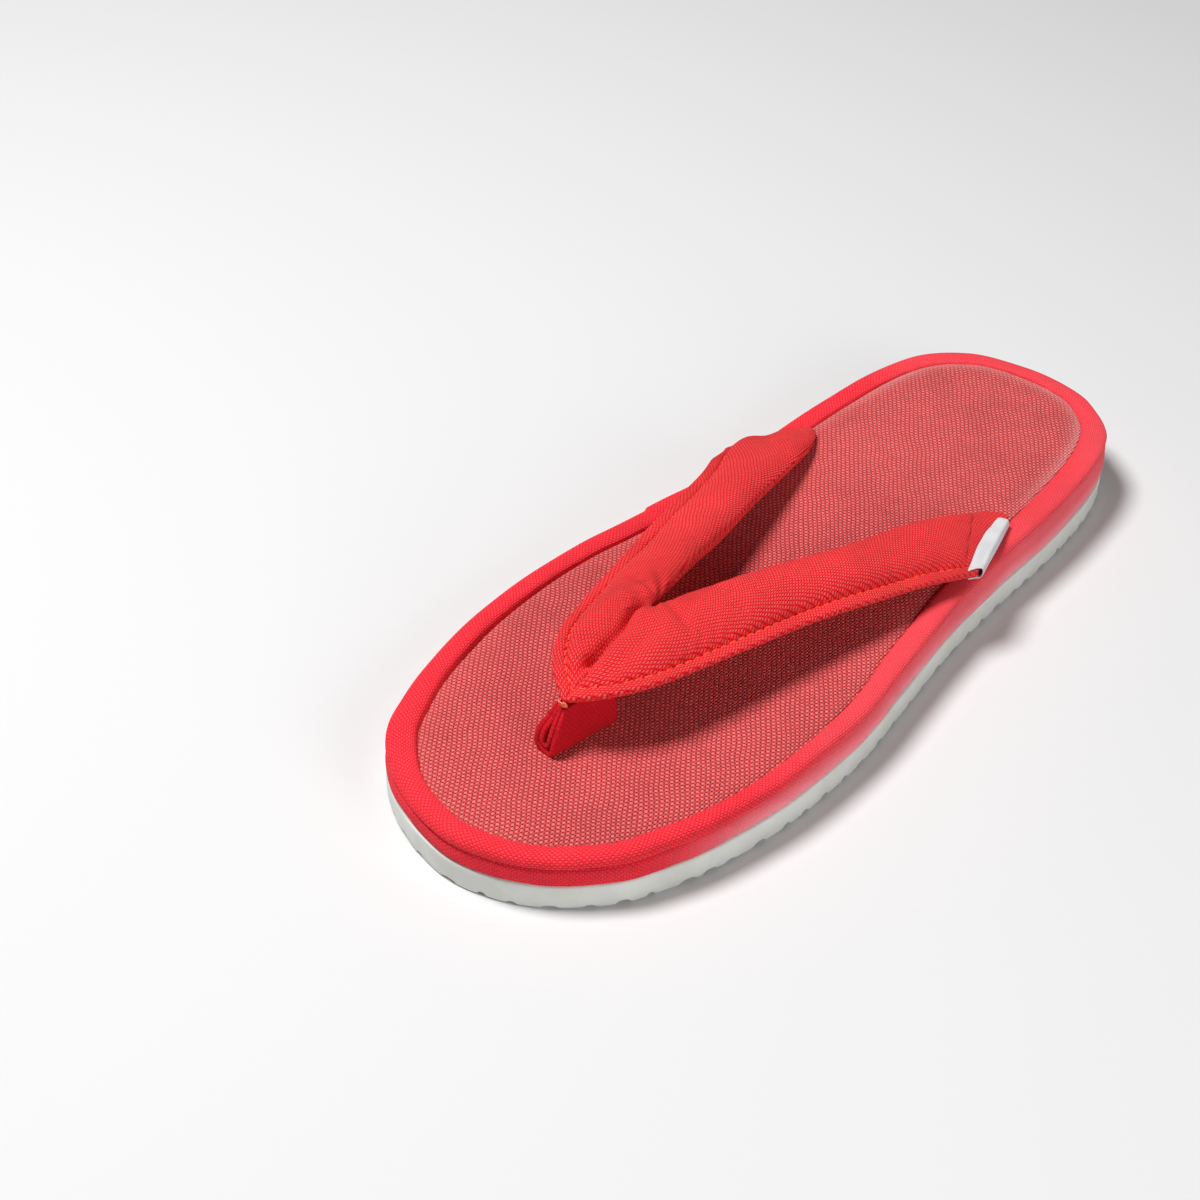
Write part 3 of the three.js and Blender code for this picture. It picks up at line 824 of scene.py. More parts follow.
@dataclass(frozen=True)
class Last:
    """Outline and levels that every layer of the sole shares."""

    footbed_length: float = 235.0
    footbed_width: float = 85.8
    outsole: float = 6.8
    wedge_toe: float = 4.4
    wedge_heel: float = 10.6
    insole_edge: float = 1.2
    layer_gap: float = 0.3
    rim_width: float = 6.0
    proud_toe: float = 2.0
    proud_waist: float = 0.9
    proud_heel: float = 0.5
    lap_station: float = 1.0
    lap_rise: float = 0.7
    lap_fade: float = 26.0

    def wedge(self, y: np.ndarray) -> np.ndarray:
        """Thickness of the midsole at a station."""
        share = (self.footbed_length / 2 - y) / self.footbed_length
        return self.wedge_toe + (self.wedge_heel - self.wedge_toe) * share

    def bed_base(self, y: np.ndarray) -> np.ndarray:
        """Height of the insole's underside."""
        return self.outsole + self.layer_gap + self.wedge(y) + self.layer_gap

    def bed_edge(self, y: np.ndarray) -> np.ndarray:
        """Height of the insole's visible edge."""
        return self.bed_base(y) + self.insole_edge

    def proud(self, y: np.ndarray) -> np.ndarray:
        """Height of the rim above the insole edge.

        Args:
            y: Stations in millimetres.

        Returns:
            One height for each station.
        """
        share = y / (self.footbed_length / 2)
        fore = smooth(share, 0.0, 0.7)
        heel = smooth(-share, 0.4, 0.9)
        return self.proud_waist + (self.proud_toe - self.proud_waist) * fore + (
            self.proud_heel - self.proud_waist
        ) * heel

    def outline(self, count: int) -> tuple[np.ndarray, np.ndarray, np.ndarray]:
        """Footbed outline.

        Args:
            count: Number of points round the footbed.

        Returns:
            Points, outward normals, and distances round from the heel.
        """
        half = np.array(
            [[r.width * self.footbed_width / 2, r.station * self.footbed_length / 2] for r in FOOTBED_HALF]
        )
        other = half[1:-1][::-1] * [-1.0, 1.0]
        loop = curve_through(np.concatenate([half, other]), True, count)
        ahead = np.roll(loop, -1, axis=0) - np.roll(loop, 1, axis=0)
        normal = np.stack([ahead[:, 1], -ahead[:, 0]], axis=1)
        normal /= np.linalg.norm(normal, axis=1, keepdims=True)
        step = np.linalg.norm(np.roll(loop, -1, axis=0) - loop, axis=1)
        return loop, normal, np.concatenate([[0.0], np.cumsum(step)])

    def rim_at(self, loop: np.ndarray) -> np.ndarray:
        """Width of the rim beside each point of the outline.

        Args:
            loop: Points of the footbed's outline.

        Returns:
            One width for each point.
        """
        station = loop[:, 1] / (self.footbed_length / 2)
        lateral = column_at(RIM_SHARES, "lateral", station)
        medial = column_at(RIM_SHARES, "medial", station)
        return self.rim_width * np.where(loop[:, 0] < 0, lateral, medial)


LAST = Last()
ROUND = 1200


def ring(
    across: np.ndarray, out: np.ndarray, count: int = ROUND
) -> tuple[np.ndarray, np.ndarray, np.ndarray]:
    """Plan places of a profile carried round the footbed.

    Args:
        across: Shares of the rim width, one for each point of the profile; 0 is the opening.
        out: Further distances outward, with one row for each place round, or one for all.
        count: Number of places round the footbed.

    Returns:
        Plan places with the first place repeated at the end, distances round, and the outline.
    """
    loop, normal, run = LAST.outline(count)
    reach = across[None, :] * LAST.rim_at(loop)[:, None] + out
    plan = loop[:, None, :] + normal[:, None, :] * reach[:, :, None]
    return np.concatenate([plan, plan[:1]]), run, loop


# Layers of the sole


def layer_round(name: str, plan: np.ndarray, height: np.ndarray, run: np.ndarray) -> bpy.types.Object:
    """A layer of the sole from its plan places, its heights and the distances round.

    Args:
        name: Name of the piece.
        plan: Plan places, with one row for each place round.
        height: Height of each of them.
        run: Distances round the footbed.

    Returns:
        The new object.
    """
    points = np.concatenate([plan, height[:, :, None]], axis=2)
    cloth = np.stack(np.broadcast_arrays(run[:, None], run_lengths(points, 1)), axis=2)
    return shaped_grid(name, points, cloth)


@dataclass(frozen=True)
class Notches:
    """Ends of the tread cuts along the ground edge."""

    pitch: float = 7.4
    width: float = 1.9
    depth: float = 1.15
    reach: float = 9.0

    def rise(self, run: np.ndarray) -> np.ndarray:
        """Height of the ground edge above the floor at each distance round.

        Args:
            run: Distances round the footbed.

        Returns:
            One height for each distance.
        """
        rng = np.random.default_rng(11)
        total = run[-1]
        rise = np.zeros(len(run))
        place = 0.0
        while place < total - 0.5 * self.pitch:
            width = self.width * rng.uniform(0.6, 1.35)
            depth = self.depth * rng.uniform(0.55, 1.1)
            gap = np.abs((run - place + total / 2) % total - total / 2)
            rise = np.maximum(rise, depth * (1.0 - smooth(gap, 0.35 * width, width)))
            place += self.pitch * rng.uniform(0.72, 1.28)
        return rise


@dataclass
class Outsole:
    """Light grey foam slab on the ground."""

    notches: Notches = field(default_factory=Notches)

    def build(self) -> bpy.types.Object:
        """Makes the slab with its worn edges and notches.

        Returns:
            The slab.
        """
        inset = np.array([
            -14.0, -self.notches.reach, -5.0, -2.2, -1.0, -0.35, -0.08,
            0.0, 0.0, 0.0, 0.0, -0.06, -0.3, -1.2, -8.0,
        ])
        level = np.array([0.0, 0.0, 0.0, 0.0, 0.0, 0.12, 0.4, 0.9, 2.4, 4.2, 5.9, 6.4, 6.72, 6.8, 6.8])
        hold = np.array([0.0, 0.0, 0.55, 0.85, 1.0, 1.0, 0.8, 0.5, 0.0, 0.0, 0.0, 0.0, 0.0, 0.0, 0.0])
        plan, run, loop = ring(np.ones(len(inset)), inset[None, :] + np.zeros((ROUND, 1)))
        rise = self.notches.rise(run)
        wall = hump(level, 3.4, 2.6)
        wave = 0.12 * soft_noise(loop[:, 0], loop[:, 1], 46.0, 5)
        wave = np.append(wave, wave[0])
        height = level[None, :] + rise[:, None] * hold[None, :]
        normal = (plan[:, 8] - plan[:, 1]) / self.notches.reach
        plan = plan + normal[:, None, :] * (wave[:, None] * wall[None, :])[:, :, None]
        made = layer_round("outsole_slab", plan, height, run)
        finish_shape(made, closed=True)
        return made


@dataclass
class SideWall:
    """Cloth round the foam wedge, under the rim."""

    step: float = 0.4
    bulge: float = 0.5
    crease: float = 0.5

    def build(self) -> bpy.types.Object:
        """Makes the wedge with its cloth drawn in above and below.

        Returns:
            The wrapped wedge.
        """
        share = np.concatenate([[0.0, 0.0], np.linspace(0.02, 0.98, 13), [1.0, 1.0]])
        belly = np.sqrt(np.clip(1.0 - (2.0 * share - 0.92) ** 2 / 1.2, 0.0, 1.0))
        drawn_in = self.crease * smooth(share, 0.86, 1.0) + 0.3 * smooth(0.08 - share, 0.0, 0.08)
        out = -self.step + self.bulge * belly - drawn_in
        out[0] = out[-1] = -9.0
        x, y = LAST.outline(ROUND)[0].T[:, :, None]
        down = 9.0 * share[None, :]
        drawn = 0.1 * soft_noise(x + down, y - down, 9.0, 21) * hump(share, 0.3, 0.6)[None, :]
        slow = 0.14 * soft_noise(x + down, y - down, 38.0, 22)
        drawn[:, [0, -1]] = slow[:, [0, -1]] = 0.0
        plan, run, _ = ring(np.ones(len(share)), out[None, :] + drawn + slow)
        base = LAST.outsole + 0.12
        top = LAST.bed_base(plan[:, :, 1]) - 0.2
        height = base + (top - base) * share[None, :]
        made = layer_round("midsole_wrap", plan, height, run)
        finish_shape(made, closed=True)
        paint_light_and_dust(made, self._light_and_dust_share)
        return made

    @staticmethod
    def _light_and_dust_share(x: np.ndarray, y: np.ndarray, z: np.ndarray) -> np.ndarray:
        """Painted light: paler, pinker cloth low on the lateral side and round the heel, with a haze like
        dust.

        Args:
            x: Places across in millimetres.
            y: Places forward in millimetres.
            z: Heights in millimetres.

        Returns:
            A share for each place.
        """
        low = 1.0 - smooth(z, 7.5, 13.0)
        side = smooth(-x, -10.0, 24.0) * (1.0 - smooth(y, 60.0, 100.0))
        return np.clip(0.35 + 0.65 * low, 0.0, 1.0) * np.maximum(side, smooth(-y, 90.0, 116.0) * 0.8)


class RimPoint(NamedTuple):
    """Point of the rim's profile: share of its width and share of its height."""

    across: float
    rise: float


RIM_PROFILE = (
    RimPoint(0.0, 0.0), RimPoint(0.0, 0.48), RimPoint(0.04, 0.76), RimPoint(0.17, 0.93),
    RimPoint(0.4, 1.0), RimPoint(0.64, 0.98), RimPoint(0.85, 0.84), RimPoint(0.975, 0.54),
    RimPoint(1.0, 0.24), RimPoint(0.95, 0.0),
)


@dataclass
class Rim:
    """Soft roll of cloth round the footbed, with its lap on the medial side."""

    pucker: float = 0.1
    pucker_pitch: float = 4.6
    lap_edge: float = 0.35

    def build(self) -> bpy.types.Object:
        """Makes the roll.

        Returns:
            The rim.
        """
        corners = np.array([[p.across, p.rise] for p in RIM_PROFILE])
        profile = curve_through(corners, True, 34)
        profile = np.concatenate([profile, profile[:1]])
        across, rise = profile[:, 0], profile[:, 1]
        loop, _, run = LAST.outline(ROUND)
        run_open = run[:-1]
        lap = self._lap(loop)
        over = 6.0 * across[None, :]
        lumps = 0.13 * soft_noise(loop[:, :1] + over, loop[:, 1:] - over, 24.0, 31)
        bend = smooth(np.abs(loop[:, 1]), 78.0, 108.0)
        waves = round(run[-1] / self.pucker_pitch)
        tucks = self.pucker * np.sin(
            2 * math.pi * waves * run_open / run[-1] + 2.4 * soft_noise(loop[:, 0], loop[:, 1], 30.0, 32)
        )
        inner = smooth(1.0 - across, 0.55, 1.0)
        tuck = (tucks * (0.35 + 0.65 * bend))[:, None] * inner[None, :]
        body = smooth(rise, 0.15, 0.6)[None, :]
        swell = lap[:, None] * 0.6 * (across * rise)[None, :]
        out = swell + (lumps + tuck) * body * 0.6 * (across - 0.4)[None, :]
        out[:, -1] = out[:, 0]
        plan, _, _ = ring(across, out)
        height = LAST.insole_edge + LAST.proud(loop[:, 1]) + lap
        lift = (lumps + tuck) * body
        lift[:, -1] = lift[:, 0]
        z = LAST.bed_base(plan[:-1, :, 1]) + rise[None, :] * height[:, None] + lift
        z = np.concatenate([z, z[:1]])
        made = layer_round("rim_binding", plan, z, run)
        finish_shape(made)
        paint_light_and_dust(made, self._light_and_dust_share)
        return made

    @staticmethod
    def _light_and_dust_share(x: np.ndarray, y: np.ndarray, z: np.ndarray) -> np.ndarray:
        """Painted light: faintly paler cloth on the lateral side behind the toes and round the heel."""
        return 0.28 * smooth(-x, 20.0, 40.0) * (1.0 - smooth(y, 30.0, 80.0)) + 0.25 * smooth(-y, 80.0, 112.0)

    def _lap(self, loop: np.ndarray) -> np.ndarray:
        """Extra height on the heel side of the lap's cut edge, medial side only.

        Args:
            loop: Points of the footbed's outline.

        Returns:
            One height for each point.
        """
        behind = LAST.lap_station - loop[:, 1]
        step = smooth(behind, -self.lap_edge, self.lap_edge)
        fall = 1.0 - smooth(behind, 0.0, LAST.lap_fade)
        return np.where(loop[:, 0] > 0, LAST.lap_rise * step * fall, 0.0)


@dataclass
class Insole:
    """Coarse woven footbed over thin foam, rolled down at its edge."""

    crown: float = 0.5
    roll_off: float = 7.0
    edge_gap: float = 0.12

    def build(self) -> bpy.types.Object:
        """Makes the footbed.

        Returns:
            The footbed.
        """
        inset = np.array([9.0, self.edge_gap, self.edge_gap, 0.35, 0.9, 1.8, 3.2, 5.2, self.roll_off, 14.0])
        lift = np.array([0.0, 0.0, 0.55, 0.85, 1.05, 1.2, 1.37, 1.55, 1.66, 1.7]) / 1.7
        plan, _, _ = ring(np.zeros(len(inset)), -inset[None, :] + np.zeros((ROUND, 1)))
        full = LAST.insole_edge + self.crown
        z = LAST.bed_base(plan[:, :, 1]) + lift[None, :] * full
        points = np.concatenate([plan, z[:, :, None]], axis=2)
        made = shaped_grid("insole_footbed", points, plan)
        finish_shape(made, closed=True)
        paint_light_and_dust(made, self._light_and_dust_share)
        return made

    def _light_and_dust_share(self, x: np.ndarray, y: np.ndarray, z: np.ndarray) -> np.ndarray:
        """Painted highlight: paler cloth on the rolled edge round the heel, and a little toward the heel."""
        edge = 1.0 - smooth(z - LAST.bed_edge(y), -0.35, 0.35)
        return edge * (0.1 + 0.7 * smooth(-y, 40.0, 100.0)) + 0.04 * smooth(-y, 20.0, 90.0)


# Straps


class StrapRow(NamedTuple):
    """Strap station from the rim to the V: outer and inner edge places, and pad share."""

    outer_x: float
    outer_y: float
    outer_h: float
    inner_x: float
    inner_y: float
    inner_h: float
    pad: float


STRAP_ROWS = (
    StrapRow(41.0, -27.0, 4.4, 31.7, -57.4, 0.9, 0.42),
    StrapRow(40.2, -24.8, 4.8, 27.6, -55.0, 1.4, 0.56),
    StrapRow(38.4, -20.4, 5.6, 23.0, -45.6, 3.4, 0.76),
    StrapRow(35.6, -12.6, 7.0, 19.0, -30.0, 7.0, 0.94),
    StrapRow(31.6, 2.8, 9.6, 14.0, -7.6, 11.0, 1.0),
    StrapRow(26.8, 21.3, 12.6, 9.2, 10.6, 13.6, 1.0),
    StrapRow(22.4, 39.4, 14.2, 5.7, 25.6, 15.9, 1.0),
    StrapRow(18.6, 55.2, 15.6, 3.3, 35.8, 17.1, 1.0),
    StrapRow(14.4, 69.0, 16.5, 1.9, 42.6, 17.7, 0.96),
    StrapRow(7.8, 78.6, 15.6, 0.9, 47.4, 17.8, 0.82),
    StrapRow(-0.5, 84.6, 13.8, -0.5, 50.4, 17.6, 0.6),
)


class Side(Enum):
    """Side of the shoe that a strap goes to."""

    LATERAL = -1
    MEDIAL = 1


class CreasePoint(NamedTuple):
    """Fold line between the two straps: station forward, place across, and how much they overlap."""

    station: float
    across: float
    overlap: float


CREASE = (
    CreasePoint(44.0, 2.2, 0.0), CreasePoint(49.0, 2.6, 0.1), CreasePoint(54.3, 2.8, 0.5),
    CreasePoint(62.9, 1.3, 0.7), CreasePoint(71.0, 0.8, -0.1), CreasePoint(77.0, 0.5, 0.05),
    CreasePoint(85.0, 0.0, 0.1),
)


@dataclass
class StrapFrames:
    """Places and directions of a strap's stations, as arrays with one row for each."""

    outer: np.ndarray
    across: np.ndarray
    up: np.ndarray
    ahead: np.ndarray
    width: np.ndarray
    pad: np.ndarray


@dataclass
class Strap:
    """One padded strap: a flange sewn flat at its outer edge and a soft pad beside it."""

    side: Side
    pad_thickness: float = 8.2
    flange_thickness: float = 2.1
    flange_width: float = 4.0
    groove_depth: float = 0.75
    groove_width: float = 0.6
    stitch_pitch: float = 2.7
    girth: float = 60.0
    still_under: float = 18.0
    under_label: float = 8.0
    at_end: float = 1.5
    stations: int = 280
    top_points: int = 46
    under_points: int = 24
    seed: int = 41

    @staticmethod
    def rows_at(t: np.ndarray) -> np.ndarray:
        """Smooth table values at shares of the strap's length.

        Args:
            t: Shares of the length.

        Returns:
            One row of values for each share.
        """
        table = np.array(STRAP_ROWS)
        last = len(table) - 1
        f = np.clip(t, 0.0, 1.0) * last
        i = np.minimum(last - 1, np.floor(f).astype(int))
        u = (f - i)[:, None]
        p0, p1 = table[np.maximum(0, i - 1)], table[i]
        p2, p3 = table[i + 1], table[np.minimum(last, i + 2)]
        s = u * u * (3.0 - 2.0 * u)
        return p1 + s * (p2 - p1) + u * (1.0 - u) * ((1.0 - u) * (p2 - p0) / 2.0 - u * (p3 - p1) / 2.0)

    def frames(self, t: np.ndarray) -> StrapFrames:
        """Places and directions at shares of the strap's length.

        Args:
            t: Shares of the length.

        Returns:
            The stations.
        """

        def ends(share: np.ndarray) -> tuple[np.ndarray, np.ndarray, np.ndarray]:
            """Edge places and pad shares at shares of the length.

            Args:
                share: Shares of the length.

            Returns:
                Places of the outer and inner edges, and the pad's shares.
            """
            rows = self.rows_at(share)
            outer = np.stack([rows[:, 0], rows[:, 1], LAST.bed_edge(rows[:, 1]) + rows[:, 2]], axis=1)
            inner = np.stack([rows[:, 3], rows[:, 4], LAST.bed_edge(rows[:, 4]) + rows[:, 5]], axis=1)
            return outer, inner, rows[:, 6]

        step = 0.5 / 30.0
        outer, inner, pad = ends(t)
        outer_a, inner_a, _ = ends(t - step)
        outer_b, inner_b, _ = ends(t + step)
        ahead = outer_b + inner_b - outer_a - inner_a
        ahead /= np.linalg.norm(ahead, axis=1, keepdims=True)
        width = np.linalg.norm(inner - outer, axis=1)
        across = (inner - outer) / width[:, None]
        up = np.cross(ahead, across)
        up /= np.linalg.norm(up, axis=1, keepdims=True)
        up *= np.sign(up[:, 2:3])
        return StrapFrames(outer, across, up, ahead, width, pad)

    def half_thickness(self, frames: StrapFrames, place: np.ndarray) -> np.ndarray:
        """Half thickness at distances in from the outer edge: flange, stitched groove, pad.

        Args:
            frames: The stations.
            place: Distances in, with one row for each station.

        Returns:
            One half thickness for each distance.
        """
        inside = (place - self.flange_width) / (frames.width[:, None] - self.flange_width)
        dome = np.clip(1.0 - (2.0 * np.clip(inside, 0.0, 1.0) - 1.0) ** 2, 0.0, 1.0) ** 0.46
        pad = frames.pad[:, None] * self.pad_thickness * dome / 2.0
        edge = np.minimum(self.flange_thickness, frames.pad[:, None] * self.pad_thickness) / 2.0
        round_edge = np.sqrt(np.clip(1.0 - (1.0 - np.clip(place / 0.9, 0.0, 1.0)) ** 2, 0.0, 1.0))
        flange = edge * round_edge * (1.0 - smooth(place, self.flange_width - 0.4, self.flange_width + 0.9))
        return np.maximum(pad, flange)

    def section_places(self, frames: StrapFrames, points: int) -> np.ndarray:
        """Distances across each station, closer together on the flange and at the inner edge.

        Args:
            frames: The stations.
            points: Number of places across.

        Returns:
            Distances in, with one row for each station.
        """
        q = np.linspace(0.0, 1.0, points)
        cut = 0.34
        flange = np.clip(q / cut, 0.0, 1.0) * self.flange_width
        pad = (1.0 - np.cos(math.pi * np.clip((q - cut) / (1.0 - cut), 0.0, 1.0))) / 2.0
        return flange[None, :] + pad[None, :] * (frames.width[:, None] - self.flange_width)

    def run_at(self, t: np.ndarray) -> np.ndarray:
        """Distances along the middle at shares of the strap's length."""
        shares, runs = self._runs()
        return np.interp(t, shares, runs)

    def _runs(self) -> tuple[np.ndarray, np.ndarray]:
        """Shares of the strap's table and the distances along its middle.

        Returns:
            The shares and the distances.
        """
        shares = np.linspace(0.0, 1.0, 400)
        frames = self.frames(shares)
        middle = frames.outer + frames.across * (frames.width / 2)[:, None]
        return shares, run_along(middle)

    def _end_inset(self, run: np.ndarray) -> np.ndarray:
        """How far the flange of the medial strap turns in at the strap's end."""
        inset = 2.6 if self.side is Side.MEDIAL else 0.0
        return inset * (1.0 - smooth(run, 0.5, 9.0))

    def surface(self, frames: StrapFrames, place: np.ndarray, run: np.ndarray, above: bool) -> np.ndarray:
        """Places on the strap's upper or lower face.

        Args:
            frames: The stations.
            place: Distances in from the outer edge.
            run: Distances along the strap.
            above: True for the upper face.

        Returns:
            Rows and columns of places.
        """
        sign = 1.0 if above else -1.0
        inset = self._end_inset(run)[:, None] * (1.0 - smooth(place, 2.0, 9.0))
        shown = place + inset
        base = frames.outer[:, None, :] + frames.across[:, None, :] * shown[:, :, None]
        base = self._to_crease(base)
        half = self.half_thickness(frames, place)
        half = half * self._pillow(base, place)
        if above:
            half = half + self._folds(base, place, run, half)
        shape = base + frames.up[:, None, :] * (sign * half)[:, :, None]
        shape[:, :, 0] *= self.side.value
        return shape

    def _crease_place(self, y: np.ndarray, column: str) -> np.ndarray:
        """A column of the fold line's table at each station forward."""
        return column_at(CREASE, column, y)

    def _to_crease(self, base: np.ndarray) -> np.ndarray:
        """Moves the middle of the V to the fold line, and lets the straps overlap there.

        Args:
            base: Places on the strap's middle sheet.

        Returns:
            The moved places.
        """
        x, y = base[:, :, 0], base[:, :, 1]
        line = self._crease_place(y, "across") * self.side.value
        near = 1.0 - smooth(np.abs(x), 0.0, 15.0)
        moved = base.copy()
        moved[:, :, 0] = x + (line - self._crease_place(y, "overlap")) * near
        return moved

    def _pillow(self, base: np.ndarray, place: np.ndarray) -> np.ndarray:
        """Share of the thickness kept near the fold line, so that each strap rounds over.

        Args:
            base: Places on the middle sheet.
            place: Distances in from the outer edge.

        Returns:
            A share for each place.
        """
        x, y = base[:, :, 0], base[:, :, 1]
        line = self._crease_place(y, "across") * self.side.value - self._crease_place(y, "overlap")
        gap = np.maximum(0.0, x - line)
        roll = 3.2 if self.side is Side.LATERAL else 4.6
        reach = 2.1 + (roll - 2.1) * smooth(place, 3.0, 9.0)
        return np.sqrt(np.clip(1.0 - (1.0 - np.clip(gap / reach, 0.0, 1.0)) ** 2, 0.0, 1.0))

    def _folds(self, base: np.ndarray, place: np.ndarray, run: np.ndarray, half: np.ndarray) -> np.ndarray:
        """Groove, stitch puckers and the main folds of the upper face.

        Args:
            base: Places on the middle sheet.
            place: Distances in from the outer edge.
            run: Distances along the strap.
            half: Half thickness of the pad there.

        Returns:
            Height added at each place.
        """
        x, y = base[:, :, 0], base[:, :, 1]
        along = run[:, None] + 0.0 * place
        full = smooth(half, 0.4, 2.2)
        edge = place - self.flange_width
        groove = -self.groove_depth * hump(edge, 0.0, self.groove_width) * smooth(half, 0.2, 0.9)
        wander = 0.9 * soft_noise(along, 0 * along, 26.0, self.seed)
        pulled = np.sin(2 * math.pi * (along + wander) / self.stitch_pitch)
        puckers = 0.1 * pulled * np.exp(-np.abs(edge) / 1.6)
        soft = 0.16 * pulled * np.exp(-np.clip(edge, 0, None) / 4.0) * smooth(edge, 0.2, 1.6) * np.sin(
            2 * math.pi * along / 17.0 + self.seed) ** 2
        lumps = 0.3 * soft_noise(along, place * 1.6, 30.0, self.seed + 1) * full
        crotch = np.hypot(x - 2.3 * self.side.value - 1.0, y - 46.5)
        angle = np.arctan2(y - 46.5, x - 2.3 * self.side.value)
        gathers = 0.34 * np.exp(-((crotch - 4.5) / 4.0) ** 2) * np.sin(7.0 * angle + self.seed) * full
        near = np.exp(-((run[:, None] / 13.0) ** 2))
        if self.side is Side.MEDIAL:
            swell = 1.9 * (1.0 - smooth(run[:, None], 12.0, 34.0)) * (1.0 - smooth(place, 6.0, 20.0))
            tucks = (swell * smooth(edge, -0.5, 2.5) + 0.22 * near * np.sin(2 * math.pi * place / 9.5)) * full
        else:
            tucks = 0.35 * near * np.sin(2 * math.pi * place / 8.5 + 1.0) * full
        total = groove + puckers * smooth(half, 0.3, 0.9) + soft * full + lumps + gathers + tucks
        return total + self._fold_line(x, y) * full

    def _fold_line(self, x: np.ndarray, y: np.ndarray) -> np.ndarray:
        """Main ridges and troughs beside the fold between the straps, in the strap's own x.

        Args:
            x: Places across, on the strap's own side.
            y: Places forward.

        Returns:
            Height added at each place.
        """

        def ridge(x0: float, y0: float, x1: float, y1: float, wide: float) -> np.ndarray:
            """Soft ridge between two points.

            Args:
                x0: Across at its start.
                y0: Forward at its start.
                x1: Across at its end.
                y1: Forward at its end.
                wide: Its half width.

            Returns:
                A share of its height for each place.
            """
            span = np.array([x1 - x0, y1 - y0])
            share = np.clip(((x - x0) * span[0] + (y - y0) * span[1]) / (span @ span), 0.0, 1.0)
            gap = np.hypot(x - x0 - share * span[0], y - y0 - share * span[1])
            return np.exp(-((gap / wide) ** 2))

        if self.side is Side.LATERAL:
            nose = 1.5 * np.exp(-(np.hypot((x + 0.6) / 4.2, (y - 53.5) / 3.8) ** 2))
            roll = 0.8 * ridge(-0.2, 56.0, 1.4, 77.0, 2.3)
            hollow = 0.7 * ridge(6.2, 58.0, 5.4, 71.0, 2.2)
            second = 0.4 * ridge(9.5, 60.0, 7.8, 71.0, 1.8)
            neck = 0.8 * ridge(4.0, 48.0, 9.0, 51.5, 1.7)
            return nose + roll + second - hollow - neck
        pit = 3.0 * np.exp(-(np.hypot((x - 1.9) / 2.3, (y - 69.5) / 3.4) ** 2))
        tuck = 1.2 * ridge(2.0, 70.5, 7.0, 68.0, 1.0)
        lip = 0.6 * ridge(3.8, 75.5, 7.6, 73.0, 1.5)
        valley = 1.6 * ridge(3.6, 50.0, 2.4, 66.0, 1.5) + 1.3 * ridge(2.6, 71.0, 1.9, 79.0, 1.2)
        shoulder = 0.5 * ridge(8.0, 52.0, 7.6, 66.0, 2.4)
        wrap = 0.8 * ridge(4.4, 45.0, 7.4, 53.0, 1.5)
        return lip + shoulder + wrap - pit - tuck - valley

    def build(self) -> bpy.types.Object:
        """Makes the strap.

        Returns:
            The strap.
        """
        t = 1.0 - np.linspace(1.0, 0.0, self.stations) ** 1.6
        frames = self.frames(t)
        run = self.run_at(t)
        over = self.section_places(frames, self.top_points)
        under = self.section_places(frames, self.under_points)
        top = self.surface(frames, over, run, True)
        bottom = self.surface(frames, under, run, False)
        points = np.concatenate([top, bottom[:, ::-1]], axis=1)
        points = np.concatenate([points, points[:, :1]], axis=1)
        last = np.full((len(t), 1), self.girth)
        cloth_across = np.concatenate([over, self.girth - under[:, ::-1], last], axis=1)
        cloth = np.stack(np.broadcast_arrays(run[:, None], cloth_across), axis=2)
        made = shaped_grid(f"strap_{self.side.name.lower()}", points, cloth)
        finish_shape(made, 0.02, closed=True)
        Stuffing().press(made, self._sewn(made))
        return made

    def _sewn(self, made: bpy.types.Object) -> np.ndarray:
        """True for corners on the flange, in the stitched groove, along the fold and at the strap's end.

        Args:
            made: The strap's cover.

        Returns:
            One value for each corner.
        """
        place = np.full(len(made.data.vertices), self.girth)
        run = np.zeros(len(place))
        corner = np.zeros(len(made.data.loops), int)
        made.data.loops.foreach_get("vertex_index", corner)
        flat = np.zeros(len(corner) * 2)
        made.data.uv_layers[CLOTH_MAP].data.foreach_get("uv", flat)
        run[corner], place[corner] = flat[0::2], flat[1::2]
        x, y, _ = corners_of(made).T
        x = x * self.side.value
        flange = (place < self.flange_width + 0.7) | (place > self.girth - self.flange_width)
        fold = (x < 2.2) | ((x < 5.2) & (y > 46.0))
        # The ribbon is sewn over the end of the lateral strap, so the cover can't swell there.
        end = run < (self.under_label if self.side is Side.LATERAL else self.at_end)
        return flange | end | fold | (place > self.girth - self.still_under)

    def stitch_line(self) -> tuple[np.ndarray, np.ndarray]:
        """Places and upward directions of the topstitching, in the groove.

        Returns:
            The places and the directions.
        """
        t = np.linspace(0.02, 0.985, 600)
        frames = self.frames(t)
        place = np.full((len(t), 1), self.flange_width - 0.15)
        line = self.surface(frames, place, self.run_at(t), True)[:, 0]
        up = frames.up * [self.side.value, 1.0, 1.0]
        return line, up


